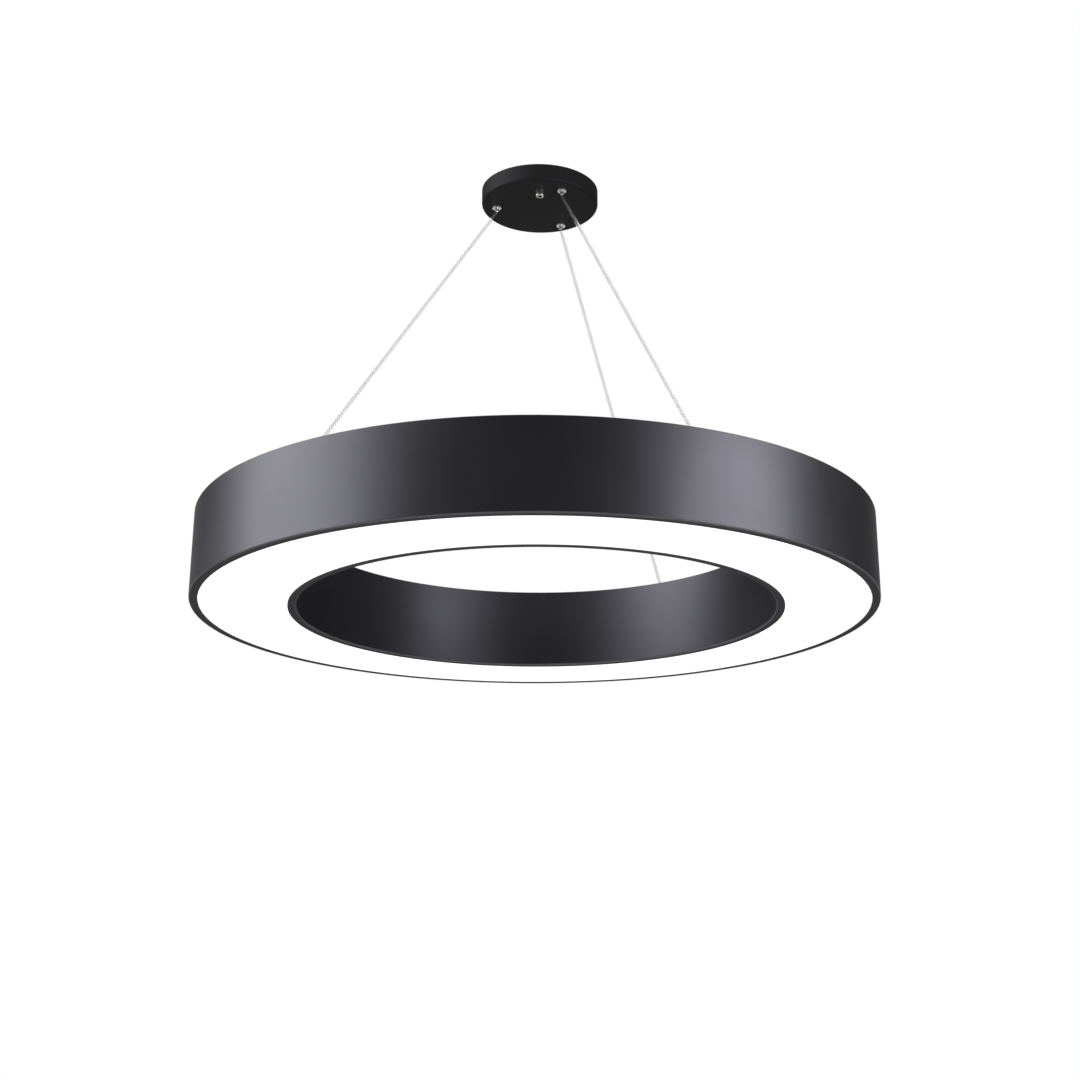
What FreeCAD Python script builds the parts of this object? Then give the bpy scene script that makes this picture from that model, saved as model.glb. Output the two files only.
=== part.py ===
import FreeCAD, Part
import math
import os
import re

import Sketcher
from FreeCAD import Placement, Rotation, Vector

# Round LED pendant light: a ring housing with a glowing underside, hung level on three
# steel wires from one round canopy. Origin: centre of the canopy's ceiling face. +Z is up.
# Sizes are millimetres, angles are degrees.

DIMENSIONS = {
    # Ring housing: two rolled profiles, one outside and one round the hole
    "ring_outer_radius": 400.0,
    "ring_inner_radius": 280.0,
    "ring_height": 100.0,
    "wall_thickness": 1.8,
    "rim_width": 10.0,
    "rim_thickness": 1.8,
    "rim_corner_radius": 2.0,
    "top_corner_radius": 0.8,
    "ledge_thickness": 1.8,
    "plate_ledge_width": 8.5,
    "tray_ledge_width": 15.0,
    # Top plate
    "top_plate_thickness": 1.5,
    "top_plate_recess": 3.0,
    "top_plate_gap": 0.3,
    "plate_screws_per_circle": 12,
    "plate_screw_start_angle": 15.0,
    # Light engine: tray, boards, chips
    "tray_thickness": 1.5,
    "tray_gap": 0.5,
    "tray_screws_per_circle": 8,
    "tray_screw_start_angle": 22.5,
    "board_thickness": 1.6,
    "board_width": 14.0,
    "boards_per_row": 6,
    "board_end_gap_angle": 1.2,
    "chips_per_board": 8,
    "chip_length": 3.5,
    "chip_width": 2.8,
    "chip_height": 0.8,
    # Diffuser: a shallow opal tray that snaps up between the two rims
    "diffuser_thickness": 2.0,
    "diffuser_recess": 0.5,
    "diffuser_gap": 0.4,
    "diffuser_upstand_height": 13.0,
    "diffuser_upstand_thickness": 1.5,
    "snap_bead_depth": 1.3,
    "snap_bead_height": 1.6,
    # LED driver, on the tray
    "driver_angle": -135.0,
    "driver_length": 150.0,
    "driver_width": 44.0,
    "driver_height": 28.0,
    "driver_corner_radius": 3.0,
    "driver_cap_length": 10.0,
    "driver_cap_wall": 1.2,
    "driver_foot_length": 12.0,
    "driver_foot_thickness": 3.0,
    "driver_screw_offset": 13.0,
    "driver_top_gap": 5.0,
    # Suspension
    "suspension_drop": 434.0,
    "wire_angle": 180.0,
    "wire_radius": 1.5,
    "sheath_radius": 2.0,
    "wire_bend_radius": 4.0,
    "wire_straight_at_mouth": 1.0,
    "wire_tail_above_cap": 2.0,
    "gripper_circle_radius": 55.0,
    # Wire gripper in the canopy floor
    "gripper_collar_radius": 6.0,
    "gripper_collar_height": 2.0,
    "gripper_collar_chamfer": 0.5,
    "gripper_shank_radius": 5.0,
    "gripper_shank_height": 14.0,
    "gripper_mouth_radius": 2.7,
    "gripper_ledge_height": 1.6,
    "cone_start_radius": 3.3,
    "cone_height": 7.0,
    "cone_rise": 1.05,
    "gripper_cap_depth": 1.4,
    "gripper_cap_thickness": 1.0,
    "gripper_nut_flats": 13.0,
    "gripper_nut_height": 3.0,
    # Plunger with its ball cage, the balls and the spring
    "plunger_tip_radius": 2.6,
    "plunger_tip_length": 4.0,
    "plunger_tip_chamfer": 0.6,
    "cage_radius": 3.0,
    "cage_height": 6.8,
    "wire_bore_radius": 1.8,
    "ball_radius": 1.2,
    "ball_clearance": 0.05,
    "ball_hole_clearance": 0.1,
    "balls_per_gripper": 3,
    "spring_coil_radius": 2.4,
    "spring_wire_radius": 0.25,
    "spring_turns": 3,
    "spring_end_gap": 0.1,
    # Wire anchor on the ring, with the ball end that hangs in it
    "anchor_cup_radius": 8.0,
    "anchor_cup_height": 9.5,
    "anchor_cup_chamfer": 1.2,
    "anchor_shank_radius": 5.0,
    "anchor_shank_length": 12.0,
    "anchor_ball_height": 4.5,
    "end_ball_radius": 3.0,
    "end_ball_flat": 2.4,
    "end_ball_clearance": 0.25,
    "anchor_slot_clearance": 0.3,
    "anchor_washer_radius": 12.0,
    "anchor_washer_thickness": 1.6,
    "anchor_nut_flats": 15.0,
    "anchor_nut_height": 4.0,
    # Cord glands, one in the canopy floor and one on the ring
    "gland_offset": 45.0,
    "gland_angle": -90.0,
    "gland_collar_radius": 5.5,
    "gland_collar_height": 2.0,
    "gland_shank_radius": 4.0,
    "gland_shank_depth": 9.0,
    "gland_neck_height": 2.0,
    "gland_neck_radius": 4.2,
    "gland_bore_radius": 3.0,
    "gland_cap_radius": 5.5,
    "gland_cap_height": 6.0,
    "gland_cap_corner_radius": 1.5,
    "gland_mouth_radius": 2.9,
    "gland_cap_wall": 1.5,
    "gland_cord_radius": 2.4,
    "gland_fit": 0.05,
    "gland_nut_flats": 12.0,
    "gland_nut_height": 3.0,
    # Canopy cover
    "canopy_radius": 74.0,
    "canopy_height": 22.0,
    "canopy_wall": 1.2,
    "canopy_corner_radius": 4.5,
    # Ceiling bracket
    "bracket_width": 24.0,
    "bracket_thickness": 2.0,
    "bracket_gap": 0.3,
    "bracket_leg_depth": 14.0,
    "bracket_bend_radius": 2.5,
    "ceiling_slot_spacing": 70.0,
    "ceiling_slot_length": 14.0,
    "ceiling_slot_width": 5.0,
    "side_screw_depth": 8.0,
    "side_screw_length": 7.0,
    "side_screw_socket_flats": 2.0,
    "side_screw_socket_depth": 2.0,
    "earth_screw_offset": 55.0,
    # Mains terminal block under the bracket
    "block_length": 30.0,
    "block_width": 16.0,
    "block_height": 12.0,
    "pole_count": 3,
    "pole_pitch": 10.0,
    "pole_gap_width": 2.0,
    "pole_gap_depth": 2.5,
    "sleeve_radius": 2.2,
    "sleeve_bore_radius": 1.5,
    "sleeve_length": 15.0,
    "sleeve_depth": 5.0,
    "clamp_screw_offset": 4.5,
    "clamp_screw_radius": 1.7,
    "clamp_screw_recess": 1.0,
    "block_fit": 0.1,
    # Pan head screws, in two sizes
    "large_screw_radius": 2.0,
    "large_head_radius": 3.8,
    "large_head_height": 2.2,
    "large_screw_length": 6.0,
    "small_screw_radius": 1.5,
    "small_head_radius": 2.7,
    "small_head_height": 1.6,
    "small_screw_length": 5.0,
    "head_corner_radius": 0.7,
    # Room round a screw: in the piece that it passes through, and in its thread
    "screw_clearance": 0.2,
    "thread_clearance": 0.05,
}

SUSPENSION_POINTS = ("left", "near", "far")
FULL_TURN = 360.0
# How closely an edge has to lie where it is looked for, in millimetres
EDGE_TOLERANCE = 1e-6
# How far a swept tube's volume may be from section times length, in percent
TUBE_TOLERANCE = 1.0

os.makedirs("parts", exist_ok=True)
doc = FreeCAD.newDocument("ring_pendant")
sheet = doc.addObject("Spreadsheet::Sheet", "Dimensions")
for row, (alias, value) in enumerate(DIMENSIONS.items(), start=1):
    sheet.set(f"A{row}", alias)
    sheet.set(f"B{row}", str(value))
    sheet.setAlias(f"B{row}", alias)
doc.recompute()

subparts = []

# Heights and places that several pieces share, as expressions of the sheet's sizes.
# Ring heights count up from the rim's lower face.
RING_TOP = "(-canopy_height - suspension_drop)"
RING_BOTTOM = f"({RING_TOP} - ring_height)"
PLATE_FACE = f"({RING_TOP} - top_plate_recess)"
PLATE_TOP = "(ring_height - top_plate_recess)"
PLATE_UNDERSIDE = f"({PLATE_TOP} - top_plate_thickness)"
DRIVER_ROOM = "(driver_height + driver_cap_wall + driver_top_gap)"
TRAY_UNDERSIDE = f"({PLATE_UNDERSIDE} - {DRIVER_ROOM} - tray_thickness)"
TRAY_LEDGE_LOW = f"({TRAY_UNDERSIDE} - ledge_thickness)"
OUTER_WALL = "(ring_outer_radius - wall_thickness)"
INNER_WALL = "(ring_inner_radius + wall_thickness)"
SECTION_MIDDLE = "((ring_outer_radius + ring_inner_radius) / 2)"
OUTER_PLATE_SCREWS = f"({OUTER_WALL} - plate_ledge_width / 2)"
INNER_PLATE_SCREWS = f"({INNER_WALL} + plate_ledge_width / 2)"
TRAY_OUTER_RADIUS = f"({OUTER_WALL} - plate_ledge_width - tray_gap)"
TRAY_INNER_RADIUS = f"({INNER_WALL} + plate_ledge_width + tray_gap)"
OUTER_TRAY_SCREWS = f"(({TRAY_OUTER_RADIUS} + {OUTER_WALL} - tray_ledge_width) / 2)"
INNER_TRAY_SCREWS = f"(({TRAY_INNER_RADIUS} + {INNER_WALL} + tray_ledge_width) / 2)"
LEDGE_SPAN = f"({OUTER_WALL} - {INNER_WALL} - 2 * tray_ledge_width)"
BOARD_ROWS = {
    "inner": f"({SECTION_MIDDLE} - {LEDGE_SPAN} / 4)",
    "outer": f"({SECTION_MIDDLE} + {LEDGE_SPAN} / 4)",
}

# Gripper heights count up from the canopy floor's lower face
CONE_TOP = "(gripper_ledge_height + cone_height)"
CAP_UNDERSIDE = "(gripper_shank_height - gripper_cap_depth)"
CONE_TOP_RADIUS = "(cone_start_radius + cone_rise)"
PLUNGER_MOUTH = "(-gripper_collar_height - plunger_tip_length)"
CAGE_TOP = "(gripper_ledge_height + cage_height)"
BALL_CENTRE_RADIUS = "(wire_radius + ball_radius + ball_clearance)"
BALL_REACH = "((ball_radius + ball_clearance) * hypot(cone_height; cone_rise) / cone_height)"
BALL_HEIGHT = (
    f"(gripper_ledge_height + ({BALL_CENTRE_RADIUS} + {BALL_REACH} - cone_start_radius)"
    " * cone_height / cone_rise)"
)

BRACKET_REACH = (
    "(sqrt((canopy_radius - canopy_wall)^2 - (bracket_width / 2)^2) - bracket_gap)"
)
BLOCK_BOTTOM = "(-bracket_thickness - block_height)"
SLEEVE_HEIGHT = "(-bracket_thickness - sleeve_depth)"


def size(expression):
    """The value of an expression of the sheet's sizes."""
    value = sheet.evalExpression(expression)
    return float(getattr(value, "Value", value))


def bound(expression):
    """The same expression as other objects of the document have to write it."""
    def with_sheet(match):
        word = match.group(0)
        return f"Dimensions.{word}" if word in DIMENSIONS else word
    return re.sub(r"[a-z_]+", with_sheet, expression)


def origin_feature(body, role):
    return next(f for f in body.Origin.OriginFeatures if f.Role == role)


def new_body(name):
    body = doc.addObject("PartDesign::Body", name)
    body.Label = name
    subparts.append(body)
    return body


def place(body, across="0", along="0", up="0", turn="0"):
    """Bind a piece's place in the pendant's frame, and its turn about the vertical."""
    body.setExpression("Placement.Base.x", bound(across))
    body.setExpression("Placement.Base.y", bound(along))
    body.setExpression("Placement.Base.z", bound(up))
    body.setExpression("Placement.Rotation.Angle", bound(turn))


def place_on_circle(body, radius, angle, up):
    place(
        body,
        f"{radius} * cos(({angle}) * 1deg)",
        f"{radius} * sin(({angle}) * 1deg)",
        up,
        angle,
    )


def new_sketch(body, role, name, offset="0"):
    sketch = body.newObject("Sketcher::SketchObject", f"{body.Name}_{name}")
    sketch.AttachmentSupport = [(origin_feature(body, role), "")]
    sketch.MapMode = "FlatFace"
    sketch.setExpression("AttachmentOffset.Base.z", bound(offset))
    return sketch


def pin_point(sketch, geometry, point, across, along):
    """Hold a sketch point at its two distances from the sketch's origin."""
    for kind, distance in (("DistanceX", across), ("DistanceY", along)):
        constraint = Sketcher.Constraint(kind, -1, 1, geometry, point, size(distance))
        index = sketch.addConstraint(constraint)
        sketch.setExpression(f"Constraints[{index}]", bound(distance))


def draw_outline(sketch, corners):
    """A closed outline of straight lines through corners given as expressions."""
    points = [Vector(size(across), size(along), 0) for across, along in corners]
    first = sketch.GeometryCount
    count = len(points)
    for index, point in enumerate(points):
        sketch.addGeometry(Part.LineSegment(point, points[(index + 1) % count]))
    for index in range(count):
        following = first + (index + 1) % count
        sketch.addConstraint(Sketcher.Constraint("Coincident", first + index, 2, following, 1))
    for index, (across, along) in enumerate(corners):
        pin_point(sketch, first + index, 1, across, along)


def draw_rectangle(sketch, left, right, low, high):
    draw_outline(sketch, [(left, low), (right, low), (right, high), (left, high)])


def draw_circle(sketch, radius, across="0", along="0"):
    centre = Vector(size(across), size(along), 0)
    index = sketch.addGeometry(Part.Circle(centre, Vector(0, 0, 1), size(radius)))
    pin_point(sketch, index, 3, across, along)
    constraint = sketch.addConstraint(Sketcher.Constraint("Radius", index, size(radius)))
    sketch.setExpression(f"Constraints[{constraint}]", bound(radius))


def draw_hexagon(sketch, flats, across="0", along="0"):
    corners = []
    for corner in range(6):
        reach = f"{flats} / sqrt(3)"
        corners.append((
            f"{across} + {reach} * cos({60 * corner}deg)",
            f"{along} + {reach} * sin({60 * corner}deg)",
        ))
    draw_outline(sketch, corners)


def turned(body, corners, name="section", angle=None):
    """Revolve an outline of (radius, height) corners about the body's own vertical axis."""
    sketch = new_sketch(body, "XZ_Plane", name)
    draw_outline(sketch, corners)
    feature = body.newObject("PartDesign::Revolution", f"{sketch.Name}_turned")
    feature.Profile = sketch
    feature.ReferenceAxis = (origin_feature(body, "Z_Axis"), [""])
    if angle is None:
        feature.Angle = FULL_TURN
    else:
        feature.setExpression("Angle", bound(angle))
        feature.Midplane = True
    doc.recompute()
    return feature


def pad(body, sketch, length, side="One side", backwards=False):
    feature = body.newObject("PartDesign::Pad", f"{sketch.Name}_pad")
    feature.Profile = sketch
    feature.setExpression("Length", bound(length))
    feature.SideType = side
    feature.Reversed = backwards
    doc.recompute()
    return feature


def cut(body, sketch, length=None, side="One side", backwards=False):
    """Cut a sketch into a body, to a length or right through, and see that it cut."""
    before = body.Shape.Volume
    feature = body.newObject("PartDesign::Pocket", f"{sketch.Name}_cut")
    feature.Profile = sketch
    feature.SideType = side
    feature.Reversed = backwards
    if length is None:
        feature.Type = "ThroughAll"
    else:
        feature.setExpression("Length", bound(length))
    doc.recompute()
    if feature.Shape.Volume >= before:
        raise RuntimeError(f"{feature.Name} cut nothing")
    return feature


def around(body, feature, count):
    """Repeat a feature evenly round the body's own vertical axis."""
    pattern = body.newObject("PartDesign::PolarPattern", f"{feature.Name}_around")
    pattern.Originals = [feature]
    pattern.Axis = (origin_feature(body, "Z_Axis"), [""])
    pattern.Angle = FULL_TURN
    pattern.setExpression("Occurrences", bound(count))
    body.Tip = pattern
    doc.recompute()
    return pattern


def ring_edges(feature, radius, height):
    """Names of the round edges about the vertical axis at a radius and a height."""
    names = []
    for index, edge in enumerate(feature.Shape.Edges, start=1):
        curve = edge.Curve
        if not isinstance(curve, Part.Circle):
            continue
        on_axis = math.hypot(curve.Center.x, curve.Center.y) < EDGE_TOLERANCE
        at_radius = abs(curve.Radius - size(radius)) < EDGE_TOLERANCE
        at_height = abs(curve.Center.z - size(height)) < EDGE_TOLERANCE
        if on_axis and at_radius and at_height:
            names.append(f"Edge{index}")
    return names


def round_edge(body, feature, places, radius):
    names = [name for place_at in places for name in ring_edges(feature, *place_at)]
    fillet = body.newObject("PartDesign::Fillet", f"{feature.Name}_rounded")
    fillet.Base = (feature, names)
    fillet.setExpression("Radius", bound(radius))
    doc.recompute()
    return fillet


def chamfer_edge(body, feature, places, width):
    names = [name for place_at in places for name in ring_edges(feature, *place_at)]
    chamfer = body.newObject("PartDesign::Chamfer", f"{feature.Name}_chamfered")
    chamfer.Base = (feature, names)
    chamfer.setExpression("Size", bound(width))
    doc.recompute()
    return chamfer


def hole_circle(body, name, radius, circle_radius, start_angle, count, top, depth):
    """Round holes straight down from a height, evenly spaced on a circle."""
    sketch = new_sketch(body, "XY_Plane", name, top)
    draw_circle(
        sketch,
        radius,
        f"{circle_radius} * cos(({start_angle}) * 1deg)",
        f"{circle_radius} * sin(({start_angle}) * 1deg)",
    )
    return around(body, cut(body, sketch, depth), count)


def hexagon_nut(name, flats, height, bore):
    """A nut on its own vertical axis, standing on its local zero height."""
    body = new_body(name)
    sketch = new_sketch(body, "XY_Plane", "flats")
    draw_hexagon(sketch, flats)
    draw_circle(sketch, bore)
    pad(body, sketch, height)
    return body


def add_screw(body, kind, name, across, along="0", length=None, head_up=True):
    """A pan head screw on an upright axis; its head's seat is at the body's zero height."""
    length = length or f"{kind}_screw_length"
    sign = "" if head_up else "-"
    sketch = new_sketch(body, "XZ_Plane", name, f"-({along})")
    rim = f"{across} + {kind}_head_radius"
    shank = f"{across} + {kind}_screw_radius - thread_clearance"
    draw_outline(sketch, [
        (across, f"{sign}(-({length}))"),
        (shank, f"{sign}(-({length}))"),
        (shank, "0"),
        (rim, "0"),
        (rim, f"{sign}({kind}_head_height - head_corner_radius)"),
        (f"{rim} - head_corner_radius", f"{sign}{kind}_head_height"),
        (across, f"{sign}{kind}_head_height"),
    ])
    axis_end = Vector(size(across), size(f"{kind}_head_height"), 0)
    axis = sketch.addGeometry(Part.LineSegment(Vector(size(across), 0, 0), axis_end), True)
    pin_point(sketch, axis, 1, across, "0")
    pin_point(sketch, axis, 2, across, f"{kind}_head_height")
    feature = body.newObject("PartDesign::Revolution", f"{sketch.Name}_turned")
    feature.Profile = sketch
    feature.ReferenceAxis = (sketch, ["Axis0"])
    feature.Angle = FULL_TURN
    doc.recompute()
    return feature


def suspension_angles():
    """The three points where wires hang, and the expression of each one's angle."""
    step = FULL_TURN / len(SUSPENSION_POINTS)
    return [(point, f"wire_angle + {index * step}") for index, point in enumerate(SUSPENSION_POINTS)]


# Ring housing

def make_wall_profile(name, face, sign, plate_screws, tray_screws):
    """A rolled wall: rim at the bottom, ledges for the tray and the top plate."""
    body = new_body(name)
    wall = f"{face} {sign} wall_thickness"
    rim = f"{face} {sign} rim_width"
    plate_ledge = f"{wall} {sign} plate_ledge_width"
    tray_ledge = f"{wall} {sign} tray_ledge_width"
    plate_ledge_low = f"{PLATE_UNDERSIDE} - ledge_thickness"
    section = turned(body, [
        (rim, "0"),
        (face, "0"),
        (face, "ring_height"),
        (wall, "ring_height"),
        (wall, PLATE_UNDERSIDE),
        (plate_ledge, PLATE_UNDERSIDE),
        (plate_ledge, plate_ledge_low),
        (wall, plate_ledge_low),
        (wall, TRAY_UNDERSIDE),
        (tray_ledge, TRAY_UNDERSIDE),
        (tray_ledge, TRAY_LEDGE_LOW),
        (wall, TRAY_LEDGE_LOW),
        (wall, "rim_thickness"),
        (rim, "rim_thickness"),
    ])
    rounded = round_edge(body, section, [(face, "0")], "rim_corner_radius")
    round_edge(body, rounded, [(face, "ring_height")], "top_corner_radius")
    hole_circle(
        body, "plate_threads", "large_screw_radius", plate_screws,
        "plate_screw_start_angle", "plate_screws_per_circle", PLATE_UNDERSIDE, "ledge_thickness",
    )
    hole_circle(
        body, "tray_threads", "small_screw_radius", tray_screws,
        "tray_screw_start_angle", "tray_screws_per_circle", TRAY_UNDERSIDE, "ledge_thickness",
    )
    place(body, up=RING_BOTTOM)


def make_top_plate():
    body = new_body("top_plate")
    outer = f"{OUTER_WALL} - top_plate_gap"
    inner = f"{INNER_WALL} + top_plate_gap"
    turned(body, [
        (inner, PLATE_UNDERSIDE),
        (outer, PLATE_UNDERSIDE),
        (outer, PLATE_TOP),
        (inner, PLATE_TOP),
    ])
    for name, circle_radius in (("outer_holes", OUTER_PLATE_SCREWS), ("inner_holes", INNER_PLATE_SCREWS)):
        hole_circle(
            body, name, "large_screw_radius + screw_clearance", circle_radius,
            "plate_screw_start_angle", "plate_screws_per_circle", PLATE_TOP, "top_plate_thickness",
        )
    hole_circle(
        body, "anchor_holes", "anchor_shank_radius + screw_clearance", SECTION_MIDDLE,
        "wire_angle", str(len(SUSPENSION_POINTS)), PLATE_TOP, "top_plate_thickness",
    )
    hole_circle(
        body, "gland_hole", "gland_shank_radius + screw_clearance", SECTION_MIDDLE,
        "gland_angle", "1", PLATE_TOP, "top_plate_thickness",
    )
    place(body, up=RING_BOTTOM)


def make_screw_circles(name, kind, circles, count, start_angle, seat):
    """Two circles of equal screws that point down from one seat."""
    body = new_body(name)
    for circle_name, circle_radius in circles:
        around(body, add_screw(body, kind, circle_name, circle_radius), count)
    place(body, up=f"{RING_BOTTOM} + {seat}", turn=start_angle)


# Light engine

def driver_screw_place(side):
    """Where a driver screw stands on the tray, on one side of the driver."""
    tangent = f"({side} * (driver_length / 2 + driver_screw_offset))"
    turn = "(driver_angle * 1deg)"
    across = f"{SECTION_MIDDLE} * cos({turn}) - {tangent} * sin({turn})"
    along = f"{SECTION_MIDDLE} * sin({turn}) + {tangent} * cos({turn})"
    return across, along


def make_led_tray():
    body = new_body("led_tray")
    tray_top = f"{TRAY_UNDERSIDE} + tray_thickness"
    turned(body, [
        (TRAY_INNER_RADIUS, TRAY_UNDERSIDE),
        (TRAY_OUTER_RADIUS, TRAY_UNDERSIDE),
        (TRAY_OUTER_RADIUS, tray_top),
        (TRAY_INNER_RADIUS, tray_top),
    ])
    for name, circle_radius in (("outer_holes", OUTER_TRAY_SCREWS), ("inner_holes", INNER_TRAY_SCREWS)):
        hole_circle(
            body, name, "small_screw_radius + screw_clearance", circle_radius,
            "tray_screw_start_angle", "tray_screws_per_circle", tray_top, "tray_thickness",
        )
    for side in (-1, 1):
        sketch = new_sketch(body, "XY_Plane", f"driver_thread_{side + 1}", tray_top)
        draw_circle(sketch, "small_screw_radius", *driver_screw_place(side))
        cut(body, sketch, "tray_thickness")
    place(body, up=RING_BOTTOM)


def make_led_boards():
    """Two rows of curved boards under the tray."""
    body = new_body("led_boards")
    for name, middle in BOARD_ROWS.items():
        low = f"{TRAY_UNDERSIDE} - board_thickness"
        board = turned(
            body,
            [
                (f"{middle} - board_width / 2", low),
                (f"{middle} + board_width / 2", low),
                (f"{middle} + board_width / 2", TRAY_UNDERSIDE),
                (f"{middle} - board_width / 2", TRAY_UNDERSIDE),
            ],
            name,
            f"{FULL_TURN} / boards_per_row - board_end_gap_angle",
        )
        around(body, board, "boards_per_row")
    place(body, up=RING_BOTTOM)


def make_led_chips():
    """Light sources on the boards, set half a step off the boards' middles."""
    body = new_body("led_chips")
    count = "boards_per_row * chips_per_board"
    for name, middle in BOARD_ROWS.items():
        sketch = new_sketch(body, "XY_Plane", name, f"{TRAY_UNDERSIDE} - board_thickness")
        draw_rectangle(
            sketch,
            f"{middle} - chip_width / 2", f"{middle} + chip_width / 2",
            "-chip_length / 2", "chip_length / 2",
        )
        around(body, pad(body, sketch, "chip_height", backwards=True), count)
    place(body, up=RING_BOTTOM, turn=f"{FULL_TURN / 2} / ({count})")


def make_diffuser():
    """Opal tray with upstands whose snap beads rest on the rims."""
    body = new_body("diffuser")
    outer = "ring_outer_radius - rim_width - diffuser_gap"
    inner = "ring_inner_radius + rim_width + diffuser_gap"
    face_top = "diffuser_recess + diffuser_thickness"
    rise = "diffuser_upstand_height"
    bead_top = "rim_thickness + snap_bead_height"
    turned(body, [
        (inner, "diffuser_recess"),
        (outer, "diffuser_recess"),
        (outer, "rim_thickness"),
        (f"{outer} + snap_bead_depth", "rim_thickness"),
        (outer, bead_top),
        (outer, rise),
        (f"{outer} - diffuser_upstand_thickness", rise),
        (f"{outer} - diffuser_upstand_thickness", face_top),
        (f"{inner} + diffuser_upstand_thickness", face_top),
        (f"{inner} + diffuser_upstand_thickness", rise),
        (inner, rise),
        (inner, bead_top),
        (f"{inner} - snap_bead_depth", "rim_thickness"),
        (inner, "rim_thickness"),
    ])
    place(body, up=RING_BOTTOM)


def driver_outline(grow):
    """Cross section of the driver standing on the tray, grown at its sides and top."""
    half = f"(driver_width / 2 + {grow})"
    top = f"(driver_height + {grow})"
    corner = "driver_corner_radius"
    return [
        (f"-{half}", "0"),
        (half, "0"),
        (half, f"{top} - {corner}"),
        (f"{half} - {corner}", top),
        (f"-({half} - {corner})", top),
        (f"-{half}", f"{top} - {corner}"),
    ]


def place_on_tray(body):
    tray_top = f"{RING_BOTTOM} + {TRAY_UNDERSIDE} + tray_thickness"
    place_on_circle(body, SECTION_MIDDLE, "driver_angle", tray_top)


def make_driver():
    case = new_body("driver_case")
    sketch = new_sketch(case, "XZ_Plane", "outline")
    draw_outline(sketch, driver_outline("0"))
    pad(case, sketch, "driver_length", side="Symmetric")
    place_on_tray(case)

    caps = new_body("driver_end_caps")
    screws = new_body("driver_screws")
    for side in (-1, 1):
        backwards = side > 0
        case_end = f"{-side} * driver_length / 2"
        cap_end = f"{-side} * (driver_length / 2 + driver_cap_length)"
        cap = new_sketch(caps, "XZ_Plane", f"cap_{side + 1}", case_end)
        draw_outline(cap, driver_outline("driver_cap_wall"))
        pad(caps, cap, "driver_cap_length", backwards=backwards)
        foot = new_sketch(caps, "XZ_Plane", f"foot_{side + 1}", cap_end)
        draw_rectangle(foot, "-driver_width / 4", "driver_width / 4", "0", "driver_foot_thickness")
        pad(caps, foot, "driver_foot_length", backwards=backwards)
        screw_y = f"{side} * (driver_length / 2 + driver_screw_offset)"
        hole = new_sketch(caps, "XY_Plane", f"foot_hole_{side + 1}", "driver_foot_thickness")
        draw_circle(hole, "small_screw_radius + screw_clearance", "0", screw_y)
        cut(caps, hole, "driver_foot_thickness")
        shank = "driver_foot_thickness + tray_thickness"
        add_screw(screws, "small", f"screw_{side + 1}", "0", screw_y, shank)
    place_on_tray(caps)
    place_on_circle(
        screws, SECTION_MIDDLE, "driver_angle",
        f"{RING_BOTTOM} + {TRAY_UNDERSIDE} + tray_thickness + driver_foot_thickness",
    )


# Wire grippers in the canopy floor

def make_gripper(point, angle):
    body = new_body(f"gripper_body_{point}")
    section = turned(body, [
        ("gripper_mouth_radius", "-gripper_collar_height"),
        ("gripper_collar_radius", "-gripper_collar_height"),
        ("gripper_collar_radius", "0"),
        ("gripper_shank_radius", "0"),
        ("gripper_shank_radius", "gripper_shank_height"),
        (CONE_TOP_RADIUS, "gripper_shank_height"),
        (CONE_TOP_RADIUS, CONE_TOP),
        ("cone_start_radius", "gripper_ledge_height"),
        ("gripper_mouth_radius", "gripper_ledge_height"),
    ])
    collar_edge = ("gripper_collar_radius", "-gripper_collar_height")
    chamfer_edge(body, section, [collar_edge], "gripper_collar_chamfer")

    cap = new_body(f"gripper_cap_{point}")
    cap_top = "gripper_shank_height + gripper_cap_thickness"
    turned(cap, [
        ("wire_bore_radius", CAP_UNDERSIDE),
        (f"{CONE_TOP_RADIUS} - thread_clearance", CAP_UNDERSIDE),
        (f"{CONE_TOP_RADIUS} - thread_clearance", "gripper_shank_height"),
        ("gripper_shank_radius", "gripper_shank_height"),
        ("gripper_shank_radius", cap_top),
        ("wire_bore_radius", cap_top),
    ])

    plunger = new_body(f"gripper_plunger_{point}")
    stem = turned(plunger, [
        ("wire_bore_radius", PLUNGER_MOUTH),
        ("plunger_tip_radius", PLUNGER_MOUTH),
        ("plunger_tip_radius", "gripper_ledge_height"),
        ("cage_radius", "gripper_ledge_height"),
        ("cage_radius", CAGE_TOP),
        ("wire_bore_radius", CAGE_TOP),
    ])
    chamfer_edge(plunger, stem, [("plunger_tip_radius", PLUNGER_MOUTH)], "plunger_tip_chamfer")
    window = new_sketch(plunger, "YZ_Plane", "ball_window")
    draw_circle(window, "ball_radius + ball_hole_clearance", "0", BALL_HEIGHT)
    around(plunger, cut(plunger, window, "cage_radius", backwards=True), "balls_per_gripper")

    balls = new_body(f"gripper_balls_{point}")
    ball = balls.newObject("PartDesign::AdditiveSphere", f"{balls.Name}_ball")
    ball.setExpression("Radius", bound("ball_radius"))
    ball.AttachmentSupport = [(origin_feature(balls, "XY_Plane"), "")]
    ball.MapMode = "FlatFace"
    ball.setExpression("AttachmentOffset.Base.x", bound(BALL_CENTRE_RADIUS))
    ball.setExpression("AttachmentOffset.Base.z", bound(BALL_HEIGHT))
    doc.recompute()
    around(balls, ball, "balls_per_gripper")

    nut = hexagon_nut(
        f"gripper_nut_{point}", "gripper_nut_flats", "gripper_nut_height",
        "gripper_shank_radius + thread_clearance",
    )
    for piece in (body, cap, plunger, balls):
        place_on_circle(piece, "gripper_circle_radius", angle, "-canopy_height")
    place_on_circle(nut, "gripper_circle_radius", angle, "-canopy_height + canopy_wall")


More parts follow.
